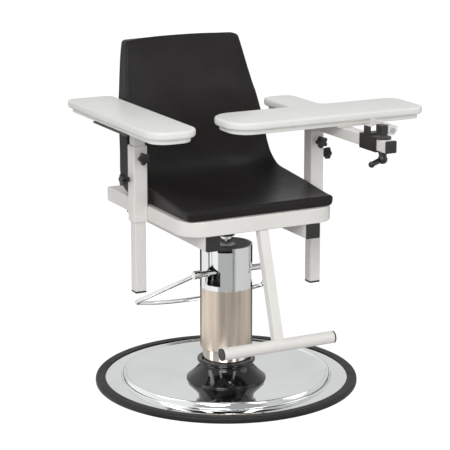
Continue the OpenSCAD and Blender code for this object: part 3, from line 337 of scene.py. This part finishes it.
def chromePlate(name, look):
    # Bright chrome: a mirror with faint cleaning smears and a very slight waviness
    material, shader, place = newMaterial(name, {"Metallic": 1.0})
    smear = noise(stretched(place, look["smearStretch"]), *look["smear"])
    dull = stepUp(smear, *look["dullEdges"]) * noise(place, *look["speck"])
    tone = stepUp(smear, *look["toneEdges"])
    plug(shader["Base Color"], mixColours(tone, look["colour"], look["shade"]))
    plug(shader["Roughness"], look["roughness"] + look["sway"] * dull)
    plug(shader["Normal"], bump(noise(place, *look["wave"]), look["waveDepth"], look["strength"]))
    return material


def brushedSleeve(name, look):
    # Brushed stainless tube: streaks that run up the tube, from noise over the angle round it
    material, shader, place = newMaterial(name, {"Metallic": 1.0})
    x, y, z = place.axes()
    polar = place.node("CombineXYZ", {}, {0: x.maths("ARCTAN2", x, y), 1: z * look["rise"], 2: 0.0})
    fine = noise(stretched(polar, look["fineStretch"]), *look["fine"])
    broad = noise(stretched(polar, look["broadStretch"]), *look["broad"])
    tone = stepUp(fine * look["fineShare"] + broad * (1 - look["fineShare"]), *look["toneEdges"])
    plug(shader["Base Color"], mixColours(tone, look["shade"], look["colour"]))
    plug(shader["Roughness"], look["roughness"] + look["sway"] * (fine - 0.5))
    plug(shader["Normal"], bump(fine, look["streakDepth"], look["strength"]))
    return material


def machinedSteel(name, look):
    # Plain steel or plated fasteners: turning marks and a slightly uneven tone
    material, shader, place = newMaterial(name, {"Metallic": 1.0})
    marks = noise(stretched(place, look["markStretch"]), *look["marks"])
    tone = noise(place, *look["cloud"])
    plug(shader["Base Color"], mixColours(tone, look["colour"], look["shade"]))
    plug(shader["Roughness"], look["roughness"] + look["sway"] * (marks - 0.5))
    plug(shader["Normal"], bump(marks, look["markDepth"], look["strength"]))
    return material


def glossEnamel(name, look):
    # Thick gloss enamel over a casting, with faint smears
    material, shader, place = newMaterial(name, {"Specular IOR Level": look["specular"]})
    cloud = noise(place, *look["cloud"])
    smear = stepUp(noise(place, *look["smear"]), *look["smearEdges"])
    plug(shader["Base Color"], mixColours(cloud, look["colour"], look["shade"]))
    plug(shader["Roughness"], look["roughness"] + look["sway"] * smear)
    plug(shader["Normal"], bump(cloud, look["waveDepth"], look["strength"]))
    return material


def bumperRubber(name, look):
    # Moulded rubber, dusty and duller in places, with the dust's colour only on its shoulder
    material, shader, place = newMaterial(name, {"Specular IOR Level": look["specular"]})
    dust = stepUp(noise(place, *look["dustCloud"]), *look["dustEdges"])
    shoulder = stepUp(place.axes()[2], *look["shoulder"])
    plug(shader["Base Color"], mixColours(dust * look["dustShare"] * shoulder, look["colour"],
                                          look["dust"]))
    plug(shader["Roughness"], look["roughness"] + look["sway"] * dust)
    plug(shader["Normal"], bump(noise(place, *look["grain"]), look["grainDepth"], look["strength"]))
    return material


def seatSkin(name, look):
    # The seat's moulded skin: fine pebbled grain, and gloss that changes slowly where it is rubbed
    material, shader, place = newMaterial(name, {"Specular IOR Level": look["specular"]})
    pebble = place.node("TexVoronoi", {"feature": "SMOOTH_F1"}, {
        "Vector": place, "Scale": look["pebbleScale"], "Smoothness": look["pebbleSmooth"]})
    fine = noise(place, *look["fine"])
    rubbed = stepUp(noise(place, *look["rub"]), *look["rubEdges"])
    grain = pebble * look["pebbleShare"] + fine * (1 - look["pebbleShare"])
    plug(shader["Base Color"], mixColours(rubbed, look["colour"], look["worn"]))
    plug(shader["Roughness"],
         look["roughness"] - look["rubSway"] * rubbed + look["fineSway"] * (fine - 0.5))
    plug(shader["Normal"], bump(grain, look["pebbleDepth"], look["strength"]))
    return material


def castIron(name, look):
    # Rough painted casting
    material, shader, place = newMaterial(name, {"Specular IOR Level": look["specular"]})
    lumps = noise(place, *look["lumps"])
    plug(shader["Base Color"], mixColours(lumps, look["colour"], look["shade"]))
    plug(shader["Roughness"], look["roughness"] + look["sway"] * (lumps - 0.5))
    plug(shader["Normal"], bump(lumps, look["lumpDepth"], look["strength"]))
    return material


# What the finishes made by one function share
powderLook = {"specular": 0.5, "cloud": (9.0, 3.0), "cloudEdges": (0.3, 0.7), "sway": 0.08,
              "peelDepth": 0.00008, "strength": 0.5}
plasticLook = {"specular": 0.45, "cloud": (14.0, 4.0), "cloudEdges": (0.3, 0.7),
               "handling": (40.0, 3.0), "sway": 0.12, "strength": 0.6}
brushedLook = {"rise": 0.5, "fineStretch": (110.0, 3.0, 1.0), "fine": (1.0, 4.0, 0.65),
               "broadStretch": (5.0, 2.2, 1.0), "broad": (1.0, 3.0, 0.5), "fineShare": 0.45,
               "toneEdges": (0.32, 0.68), "sway": 0.14, "strength": 0.5}
machinedLook = {"cloud": (60.0, 3.0), "markStretch": (1.0, 1.0, 6.0), "marks": (420.0, 2.0),
                "sway": 0.15, "strength": 0.4}

whitePowder = powderCoat("whitePowder", {
    **powderLook, "colour": (0.79, 0.772, 0.742), "shade": (0.755, 0.735, 0.705),
    "roughness": 0.36, "peel": (700.0, 2.0, 0.4)})
blackPowder = powderCoat("blackPowder", {
    **powderLook, "colour": (0.022, 0.020, 0.019), "shade": (0.032, 0.030, 0.028),
    "roughness": 0.42, "peel": (900.0, 2.0, 0.4)})
boardPlastic = plastic("boardPlastic", {
    **plasticLook, "colour": (0.79, 0.79, 0.765), "shade": (0.765, 0.765, 0.738),
    "roughness": 0.38, "grain": (1300.0, 3.0, 0.6), "grainDepth": 0.00005})
blackPlastic = plastic("blackPlastic", {
    **plasticLook, "colour": (0.016, 0.015, 0.014), "shade": (0.026, 0.024, 0.023),
    "roughness": 0.40, "grain": (900.0, 3.0, 0.6), "grainDepth": 0.00008})
nylon = plastic("nylonWhite", {
    **plasticLook, "colour": (0.72, 0.71, 0.68), "shade": (0.66, 0.65, 0.61),
    "roughness": 0.45, "grain": (600.0, 3.0, 0.6), "grainDepth": 0.00005})
chrome = chromePlate("brightChrome", {
    "colour": (0.80, 0.815, 0.815), "shade": (0.74, 0.755, 0.755), "roughness": 0.045,
    "smearStretch": (1.0, 1.0, 0.35), "smear": (7.0, 5.0, 0.6), "speck": (260.0, 2.0),
    "toneEdges": (0.35, 0.75), "dullEdges": (0.5, 0.8), "sway": 0.06,
    "wave": (5.0, 1.0), "waveDepth": 0.0002, "strength": 0.4})
warmSteel = brushedSleeve("brushedWarmSteel", {
    **brushedLook, "colour": (0.80, 0.70, 0.60), "shade": (0.50, 0.42, 0.34),
    "roughness": 0.30, "streakDepth": 0.00006})
collarSteel = brushedSleeve("collarSteel", {
    **brushedLook, "colour": (0.62, 0.57, 0.53), "shade": (0.40, 0.36, 0.33),
    "roughness": 0.16, "streakDepth": 0.00003})
steel = machinedSteel("machinedSteel", {
    **machinedLook, "colour": (0.46, 0.47, 0.49), "shade": (0.32, 0.33, 0.35),
    "roughness": 0.34, "markDepth": 0.00005})
zinc = machinedSteel("zincPlate", {
    **machinedLook, "colour": (0.62, 0.63, 0.65), "shade": (0.50, 0.51, 0.52),
    "roughness": 0.28, "markDepth": 0.00004})
bronze = machinedSteel("bushBronze", {
    **machinedLook, "colour": (0.56, 0.38, 0.17), "shade": (0.40, 0.26, 0.11),
    "roughness": 0.38, "markDepth": 0.00004})
enamel = glossEnamel("glossEnamel", {
    "colour": (0.005, 0.005, 0.005), "shade": (0.009, 0.0085, 0.0085), "roughness": 0.05,
    "specular": 0.42, "cloud": (22.0, 3.0), "smear": (120.0, 3.0), "smearEdges": (0.45, 0.75),
    "sway": 0.1, "waveDepth": 0.00012, "strength": 0.35})
rubber = bumperRubber("bumperRubber", {
    "colour": (0.012, 0.011, 0.0105), "dust": (0.04, 0.038, 0.035), "roughness": 0.52,
    "specular": 0.35, "dustCloud": (18.0, 5.0, 0.65), "dustEdges": (0.45, 0.72), "dustShare": 0.5,
    "shoulder": (0.010, 0.016), "sway": 0.2,        # the shoulder is between these heights
    "grain": (500.0, 3.0, 0.6), "grainDepth": 0.00012, "strength": 0.6})
skin = seatSkin("seatSkin", {
    "colour": (0.0135, 0.0121, 0.0117), "worn": (0.0178, 0.0161, 0.0157), "roughness": 0.44,
    "specular": 0.15, "pebbleScale": 620.0, "pebbleSmooth": 0.6, "pebbleShare": 0.7,
    "pebbleDepth": 0.00022, "strength": 0.55, "fine": (900.0, 3.0, 0.6), "fineSway": 0.10,
    "rub": (6.5, 4.0, 0.55), "rubEdges": (0.38, 0.68), "rubSway": 0.07})
iron = castIron("paintedIron", {
    "colour": (0.03, 0.03, 0.03), "shade": (0.055, 0.053, 0.05), "roughness": 0.6,
    "specular": 0.4, "lumps": (90.0, 5.0, 0.65), "sway": 0.2, "lumpDepth": 0.0006,
    "strength": 0.7})

finishOfSlot = {"rubber_black": rubber, "chrome": chrome, "cast_iron": iron, "gloss_black": enamel,
                "pump_steel": steel, "warm_steel": warmSteel, "bronze": bronze,
                "white_steel": whitePowder, "black_steel": blackPowder,
                "black_plastic": blackPlastic, "white_plastic": nylon,
                "board_plastic": boardPlastic, "seat_skin": skin, "zinc": zinc}
finishOfNode = {"lower_collar": collarSteel}        # brighter and finer than its slot's finish
slotOfNode = {row["node"]: row["material_slot"] for row in frame["record"]["subparts"]}
for nodeName, cadPiece in nodes.items():
    cadPiece.data.materials.clear()
    cadPiece.data.materials.append(finishOfNode.get(nodeName, finishOfSlot[slotOfNode[nodeName]]))
print("stage 3: finishes on", len(nodes), "CAD nodes")


# The one-piece seat and back

seatLook = {
    "front": -0.197, "depth": 0.485, "low": 0.4886, "rise": 0.3924, "half": 0.208,
    "edge": 0.0095,                 # radius of its rounded edges
    "edgeShare": 0.48,              # and the largest share of the thickness that it takes
    "edgePower": 2.6,               # how late the front surface turns up towards its sides
    "outerShare": 0.985,            # width of the outer surface
    "rows": 190, "acrossPoints": 61, "pathPoints": 1200, "endPoints": 9, "edgePoints": 7,
}
# Shares of depth, rise and half width at stations from the seat's front to the back's top:
# the front surface in the middle (y, z) and at the side (y, z), half width, outer surface (y, z)
seatStations = np.array([
    [0.000, 0.066, 0.000, 0.068, 0.985, 0.000, 0.000],
    [0.022, 0.066, 0.022, 0.068, 0.995, 0.024, 0.000],
    [0.076, 0.061, 0.076, 0.070, 1.000, 0.076, 0.000],
    [0.221, 0.049, 0.221, 0.091, 1.000, 0.221, 0.000],
    [0.365, 0.040, 0.365, 0.111, 1.000, 0.365, 0.000],
    [0.509, 0.040, 0.499, 0.127, 1.000, 0.509, 0.000],
    [0.623, 0.055, 0.588, 0.139, 1.000, 0.633, 0.002],
    [0.705, 0.091, 0.643, 0.167, 1.000, 0.740, 0.004],
    [0.761, 0.152, 0.689, 0.218, 0.995, 0.812, 0.032],
    [0.790, 0.246, 0.718, 0.279, 0.990, 0.852, 0.114],
    [0.804, 0.348, 0.738, 0.356, 0.978, 0.866, 0.251],
    [0.819, 0.458, 0.760, 0.463, 0.957, 0.895, 0.430],
    [0.840, 0.590, 0.794, 0.595, 0.917, 0.935, 0.590],
    [0.851, 0.644, 0.813, 0.650, 0.897, 0.947, 0.640],
    [0.885, 0.750, 0.844, 0.750, 0.864, 0.969, 0.748],
    [0.922, 0.878, 0.880, 0.878, 0.825, 0.991, 0.875],
    [0.947, 0.965, 0.903, 0.950, 0.803, 0.994, 0.955],
    [0.956, 0.997, 0.912, 0.979, 0.794, 0.990, 0.983],
])


def alongTable(table, at):
    # Catmull-Rom curve through the rows of a table: each value between two rows is the cubic that
    # meets both rows with the slope of their neighbours
    last = len(table) - 1
    at = np.clip(at, 0, last - 1e-9)        # stays below the last row
    row = at.astype(int)
    f = (at - row)[:, None]
    a, b, c, d = (table[np.clip(row + step, 0, last)] for step in (-1, 0, 1, 2))
    return b + 0.5 * f * (c - a + f * (2 * a - 5 * b + 4 * c - d + f * (3 * (b - c) + d - a)))


def seatSurface(look):
    # Each row is a closed ring round the shell at one station. Across the ring, share t of the
    # half width runs over the front surface and back over the outer one, and share s goes through
    # the thickness. Both are cut short near the ends and corners by a circle's rise, so that
    # every edge is round.
    edge = look["edge"]
    fine = np.linspace(0, len(seatStations) - 1, look["pathPoints"])
    path = alongTable(seatStations, fine)[:, :2] * [look["depth"], look["rise"]]
    length = np.concatenate([[0], np.cumsum(np.linalg.norm(np.diff(path, axis=0), axis=1))])
    bend = np.linspace(0, math.pi / 2, look["endPoints"])
    inset = edge * (1 - np.sin(bend))
    start = edge * (1 - np.cos(bend))
    middle = np.linspace(edge, length[-1] - edge, look["rows"])[1:-1]
    distance = np.concatenate([start, middle, length[-1] - start[::-1]])
    cut = np.concatenate([inset, np.zeros(len(middle)), inset[::-1]])[:, None]
    rows = alongTable(seatStations, np.interp(distance, length, fine))
    midY, midZ, sideY, sideZ, width, outerY, outerZ = (rows[:, [column]] for column in range(7))
    half = width * look["half"]
    gap = np.hypot((sideY - outerY) * look["depth"], (sideZ - outerZ) * look["rise"])
    radius = np.minimum(edge - cut, gap * look["edgeShare"])
    halfIn, deep = half - cut, gap - 2 * cut
    inner = halfIn - radius
    flat = np.linspace(-1, 1, look["acrossPoints"])
    side = np.linspace(0, 1, look["edgePoints"])
    quarter = side[1:-1] * math.pi / 2
    sine, cosine = np.sin(quarter), np.cos(quarter)
    # The ring in metres, x across and w through the thickness: over the front, round its edge,
    # down the side, round the outer edge, and the same way back over the outer surface
    ring = [
        (inner * flat, 0 * inner * flat),
        (inner + radius * sine, radius * (1 - cosine)),
        (halfIn + 0 * side, radius + (deep - 2 * radius) * side),
        (inner + radius * cosine, deep - radius * (1 - sine)),
        (-inner * flat, deep + 0 * flat),
        (-inner - radius * sine, deep - radius * (1 - cosine)),
        (-halfIn + 0 * side, deep - radius - (deep - 2 * radius) * side),
        (-inner - radius * cosine, radius * (1 - sine)),
    ]
    x = np.concatenate([part[0] for part in ring], 1)
    w = np.concatenate([part[1] for part in ring], 1) + cut
    s = w / gap
    k = np.abs(x / half) ** look["edgePower"]
    frontY, frontZ = midY * (1 - k) + sideY * k, midZ * (1 - k) + sideZ * k
    y = look["front"] + look["depth"] * (frontY * (1 - s) + outerY * s)
    z = look["low"] + look["rise"] * (frontZ * (1 - s) + outerZ * s)
    return np.stack([x * (1 - (1 - look["outerShare"]) * s), y, z], -1)


seat = gridMesh("mouldedSeat", seatSurface(seatLook), wrapColumns=True, capRows=True)
finishPiece(seat, skin, "seat", ["seat_shell"])
print("stage 4: seat")


# Arm boards: an outline of arcs, carried through a rounded profile

boardLook = {
    "slab": 0.020, "lip": 0.012,        # thickness of the board, and of the smaller lip under it
    "lipInset": 0.012, "step": 0.0008,
    "topEdge": 0.006, "lowEdge": 0.007, "lipEdge": 0.003, "edgePoints": 7,
    "arcPoints": 14, "leastRadius": 1e-5,
}
leftLook = {"frontCorner": 0.054, "innerCorner": 0.0486, "rearCorner": 0.025}
flipLook = {"barLeft": -0.090, "barRight": 0.461, "barFront": -0.222, "barBack": -0.063,
            "wingLeft": 0.150, "wingRight": 0.241, "wingBack": 0.096,
            "endCorner": 0.062, "farCorner": 0.034, "wingCorner": 0.028, "fillet": 0.016}


def arcOutline(corners, inset, look):
    # Each corner is (centre x, centre y, radius, start angle, end angle) with a radius that an
    # inset makes smaller, or larger where the arc turns the other way
    runs = []
    for centreX, centreY, corner, start, end in corners:
        turn = np.radians(np.linspace(start, end, look["arcPoints"]))
        radius = max(corner - inset, look["leastRadius"]) if end > start else corner + inset
        runs.append(np.stack([centreX + radius * np.cos(turn), centreY + radius * np.sin(turn)], -1))
    return np.concatenate(runs)


def boardProfile(look):
    # (inset, height below the top) from the lip's underside up to the top: the lip's small round,
    # its wall, the step out under the slab, the slab's lower and upper rounds
    low, top, lip = look["lowEdge"], look["topEdge"], look["lipEdge"]
    slab, lipInset, step = look["slab"], look["lipInset"], look["step"]
    turn = np.linspace(0, math.pi / 2, look["edgePoints"])
    out, over = 1 - np.sin(turn), 1 - np.cos(turn)
    return np.concatenate([
        np.stack([lipInset + lip * out, slab + look["lip"] - lip * over], -1),
        [[lipInset, slab + step], [lipInset - step, slab]],
        np.stack([low * out, slab - low * over], -1),
        np.stack([top * over, top * out], -1),
    ])


def boardPiece(name, corners, top, look):
    # Each row is the outline at one step of the profile, moved in and down from the top
    rows = []
    for inset, drop in boardProfile(look):
        outline = arcOutline(corners, inset, look)
        rows.append(np.column_stack([outline, np.full(len(outline), top - drop)]))
    return gridMesh(name, np.stack(rows), wrapColumns=True, capRows=True)


def leftCorners(low, high, look):
    # The four corners of the left board's box, anticlockwise from its outer front
    front, inner, rear = look["frontCorner"], look["innerCorner"], look["rearCorner"]
    return [
        (low[0] + front, low[1] + front, front, 180, 270),
        (high[0] - inner, low[1] + inner, inner, 270, 360),
        (high[0] - rear, high[1] - rear, rear, 0, 90),
        (low[0] + rear, high[1] - rear, rear, 90, 180),
    ]


def flipCorners(look):
    # A bar across the sitter's front with a wing behind it, anticlockwise from the bar's end
    left, right, front, back = (look["bar" + side] for side in ("Left", "Right", "Front", "Back"))
    wingLeft, wingRight, wingBack = look["wingLeft"], look["wingRight"], look["wingBack"]
    end, far, wing, fillet = (look[name] for name in (
        "endCorner", "farCorner", "wingCorner", "fillet"))
    return [
        (left + end, front + end, end, 180, 270),
        (right - far, front + far, far, 270, 360),
        (right - far, back - far, far, 0, 90),
        (wingRight + fillet, back + fillet, fillet, 270, 180),
        (wingRight - wing, wingBack - wing, wing, 0, 90),
        (wingLeft + wing, wingBack - wing, wing, 90, 180),
        (wingLeft - fillet, back + fillet, fillet, 0, -90),
        (left + end, back - end, end, 90, 180),
    ]


leftLow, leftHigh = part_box("left_board")
leftBoard = boardPiece("leftArmBoard", leftCorners(leftLow, leftHigh, leftLook), leftHigh[2], boardLook)
finishPiece(leftBoard, boardPlastic, "left_arm", ["left_board"])
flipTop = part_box("flip_board")[1][2]
flipBoard = boardPiece("flipUpBoard", flipCorners(flipLook), flipTop, boardLook)
finishPiece(flipBoard, boardPlastic, "flip", ["flip_board"])
print("stage 5: arm boards")


# Turned parts of the base

bumperLook = {"inside": 0.317, "outside": 0.343, "height": 0.016,
              "lap": 0.321, "slotLow": 0.0107, "slotHigh": 0.0135,        # a slot for the dish's edge
              "outerLow": 0.006, "outerTop": 0.0075, "innerTop": 0.003, "innerLow": 0.001}
dishLook = {"lap": 0.321, "rim": 0.2748, "rimZ": 0.013, "hole": 0.088, "wall": 0.002,
            "edge": 0.0008,              # keeps the rim's flat shaded flat up to its edge
            "wallOut": 0.2736, "wallZ": 0.0195, "stepOut": 0.2695, "stepIn": 0.2640, "crestZ": 0.029,
            "beadIn": 0.0038, "beadDrop": 0.005, "knee": 0.135, "kneeZ": 0.0125,
            "bell": 0.104, "middleZ": 0.006,
            "rounds": [0, 0, 0.004, 0.005, 0.009, 0.003, 0.004, 0.04, 0.02, 0]}
bellLook = {"foot": 0.104, "footZ": 0.0060, "footWall": 0.003, "neck": 0.069, "neckZ": 0.048,
            "ring": 0.076, "ringZ": 0.054, "top": 0.062, "bore": 0.0623, "wall": 0.003,
            "groove": 0.0005, "grooveOut": 0.001, "rounds": [0, 0.0008, 0.003, 0.0035, 0],
            "flarePower": 1.35, "flareSteps": 24}
turnSteps = 256


def revolved(profile, steps):
    # A profile of (radius, height) carried round the Z axis
    angle = np.linspace(0, 2 * math.pi, steps, endpoint=False)
    radius, height = profile[:, [0]], profile[:, [1]]
    return np.stack([radius * np.cos(angle), radius * np.sin(angle), height + 0 * angle], -1)


def turned(name, profile):
    # A closed profile carried round the Z axis as a piece
    return gridMesh(name, revolved(profile, turnSteps), wrapRows=True, wrapColumns=True)


def roundCorners(points, radii, steps=8, most=0.49):
    # A polyline whose corners are replaced by quadratic curves that start and end a radius away,
    # or at most about half of a side away
    points = np.array(points, float)
    curve = []
    for index, radius in enumerate(radii):
        here, before, after = points[index], points[index - 1], points[(index + 1) % len(points)]
        if radius <= 0:
            curve.append(here[None])
            continue
        ends = []
        for neighbour in (before, after):
            length = np.linalg.norm(neighbour - here)
            ends.append(here + (neighbour - here) / length * min(radius, length * most))
        t = np.linspace(0, 1, steps)[:, None]
        curve.append((1 - t) ** 2 * ends[0] + 2 * t * (1 - t) * here + t ** 2 * ends[1])
    return np.concatenate(curve)


def bumperProfile(look):
    # A block with round shoulders and a slot in its inner wall that holds the dish's edge
    inside, outside, height, lap = look["inside"], look["outside"], look["height"], look["lap"]
    slotLow, slotHigh = look["slotLow"], look["slotHigh"]
    return roundCorners(
        [(inside, 0.0), (outside, 0.0), (outside, height), (inside, height),
         (inside, slotHigh), (lap, slotHigh), (lap, slotLow), (inside, slotLow)],
        [look["innerLow"], look["outerLow"], look["outerTop"], look["innerTop"], 0, 0, 0, 0])


def dishProfile(look):
    # The top from the rim's flat over the raised bead and down the long slope to the hole, and
    # the underside the same way back, a wall lower, and also a wall further in above the rim
    rimZ, crestZ, wall = look["rimZ"], look["crestZ"], look["wall"]
    top = [(look["lap"], rimZ), (look["lap"] - look["edge"], rimZ), (look["rim"], rimZ),
           (look["wallOut"], look["wallZ"]), (look["stepOut"], crestZ), (look["stepIn"], crestZ),
           (look["stepIn"] - look["beadIn"], crestZ - look["beadDrop"]),
           (look["knee"], look["kneeZ"]), (look["bell"], look["middleZ"]),
           (look["hole"], look["middleZ"])]
    under = [(radius - (wall if z > rimZ else 0), z - wall) for radius, z in top[::-1]]
    return roundCorners(top + under, look["rounds"] + look["rounds"][::-1])


def bellProfile(look):
    # A flare whose radius falls from foot to neck with the power of the share left to climb, a
    # groove, and a round ring on top. The inside is the flare a wall further in.
    neck, foot, ringZ, wall = look["neck"], look["foot"], look["ringZ"], look["wall"]
    climb = np.linspace(0, 1, look["flareSteps"])
    low = look["footZ"] + look["footWall"]
    flare = np.column_stack([neck + (foot - neck) * (1 - climb) ** look["flarePower"],
                             low + (look["neckZ"] - low) * climb])
    ring = roundCorners([(neck, ringZ - look["groove"]), (neck + look["grooveOut"], ringZ),
                         (look["ring"], ringZ), (look["ring"], look["top"]),
                         (look["bore"], look["top"])], look["rounds"])
    return np.concatenate([[[foot, look["footZ"]]], flare, ring, [[look["bore"], ringZ]],
                           flare[::-1] - [wall, 0.0], [[foot - wall, look["footZ"]]]])


bumper = turned("rubberBumper", bumperProfile(bumperLook))
finishPiece(bumper, rubber, "base", ["bumper_ring"])
dish = turned("chromeDish", dishProfile(dishLook))
finishPiece(dish, chrome, "base", ["base_dish"])
bell = turned("glossBell", bellProfile(bellLook))
finishPiece(bell, enamel, "base", ["base_bell"])
print("stage 6: base")


# Star knobs: a five-lobed outline whose lobes fade into a round neck

knobLook = {"radius": 0.0160, "lobes": 5, "lobeDepth": 0.23, "lobePower": 0.55, "thick": 0.014,
            "neckRadius": 0.007, "neck": 0.009, "neckEdge": 0.001, "edge": 0.003,
            "lowLobe": 0.4, "topLobe": 0.65,        # how far the lobes are out at the two edges
            # The crown's rows: share of the radius, height over the edge, share of the lobes
            "crown": [(0.62, 0.0004, 0.25), (0.40, 0.0012, 0.0), (0.2, 0.0014, 0.0),
                      (0.0, 0.0015, 0.0)],
            "edgePoints": 7, "turns": 120}


def knobSurface(look):
    # Rows run from the neck's end to the knob's crown. Each radius is multiplied by a rounded
    # cosine of the angle, whose share is zero on the neck and on the flat of the crown.
    edge, radius, thick = look["edge"], look["radius"], look["thick"]
    neckRadius, neck, neckEdge = look["neckRadius"], look["neck"], look["neckEdge"]
    lowLobe, topLobe = look["lowLobe"], look["topLobe"]
    arc = np.linspace(0, math.pi / 2, look["edgePoints"])
    sine, cosine = np.sin(arc), np.cos(arc)
    profile = np.concatenate([
        [[0.0, -neck, 0.0], [neckRadius - neckEdge, -neck, 0.0],
         [neckRadius, neckEdge - neck, 0.0], [neckRadius, -neckEdge, 0.0]],
        np.stack([radius - edge + edge * sine, edge * (1 - cosine),
                  lowLobe + (1 - lowLobe) * sine], -1),
        np.stack([radius - edge + edge * cosine, thick - edge + edge * sine,
                  1 - (1 - topLobe) * sine], -1),
        np.array(look["crown"]) * [radius, 1, 1] + [0, thick, 0],
    ])
    angle = np.linspace(0, 2 * math.pi, look["turns"], endpoint=False)
    wave = 0.5 + 0.5 * np.cos(look["lobes"] * angle)
    lobe = 1 - look["lobeDepth"] * 2 * (1 - wave ** look["lobePower"]) * profile[:, [2]]
    reach = profile[:, [0]] * lobe
    return np.stack([reach * np.cos(angle), reach * np.sin(angle), profile[:, [1]] + 0 * angle], -1)


def facing(points, origin, axis):
    # Turns points made round +Z so that +Z becomes the axis, and moves them to the origin. The
    # first side is level, or along X where the axis itself is nearly upright.
    z = np.array(axis, float)
    x = np.cross(z, [0.0, 0.0, 1.0]) if abs(z[2]) < 0.9 else np.array([1.0, 0.0, 0.0])
    x /= np.linalg.norm(x)
    y = np.cross(z, x)
    return origin + points[..., :1] * x + points[..., 1:2] * y + points[..., 2:] * z


joints = {joint["name"]: joint for joint in frame["joints"]}
for jointName, joint in joints.items():
    if jointName.endswith("knob_turn"):
        node = jointName.replace("_turn", "")
        star = facing(knobSurface(knobLook), joint["pos_m"], joint["axis"])
        knob = gridMesh(node.replace("_", "") + "Star", star, wrapColumns=True)
        finishPiece(knob, blackPlastic, joint["child"], [node])


# Clamp lever: a rounded hub under the clamp and an arm that ends in a ball

leverLook = {"hubRadius": 0.0120, "hubMiddle": -0.0015, "hubFlat": 0.95, "hubCut": 0.006,
             "hubNeck": 0.0085, "neckLow": 0.0085, "neckFlare": 0.001, "hubTop": 0.0117,
             "armStart": 0.0070, "armEnd": 0.0064, "ball": 0.0080, "armLength": 0.041,
             "droop": 20.0,                         # degrees below level
             "hubPoints": 20, "ballPoints": 16, "turns": 48}


def hubProfile(look):
    # A flattened ball cut off at a height, and a neck that runs up from it to the clamp
    around = np.linspace(-math.pi / 2, math.pi / 2, look["hubPoints"])
    radius, neck, top = look["hubRadius"], look["hubNeck"], look["hubTop"]
    ball = np.column_stack([radius * np.cos(around),
                            look["hubMiddle"] + radius * look["hubFlat"] * np.sin(around)])
    return np.concatenate([ball[ball[:, 1] < look["hubCut"]],
                           [[neck + look["neckFlare"], look["neckLow"]], [neck, top], [0, top]]])


def armProfile(look):
    # A slim cone, and a ball that starts where it is as wide as the cone's end
    ball, end = look["ball"], look["armEnd"]
    middle = look["armLength"] - ball
    start = math.atan2(-math.sqrt(ball ** 2 - end ** 2), end)
    around = np.linspace(start, math.pi / 2, look["ballPoints"])
    tip = np.column_stack([ball * np.cos(around), middle + ball * np.sin(around)])
    return np.concatenate([[[0, 0], [look["armStart"], 0]], tip])


pivot = joints["clamp_lever_turn"]
droop = math.radians(leverLook["droop"])
for name, profile, axis, standsFor in [
        ("leverHub", hubProfile(leverLook), (0, 0, 1), ["clamp_lever"]),
        ("leverArm", armProfile(leverLook), (-math.cos(droop), 0, -math.sin(droop)), [])]:
    lever = facing(revolved(profile, leverLook["turns"]), np.array(pivot["pos_m"]), axis)
    finishPiece(gridMesh(name, lever, wrapColumns=True), blackPlastic, pivot["child"],
                standsFor)
print("stage 7: knobs and lever")


print("stage 8: done")
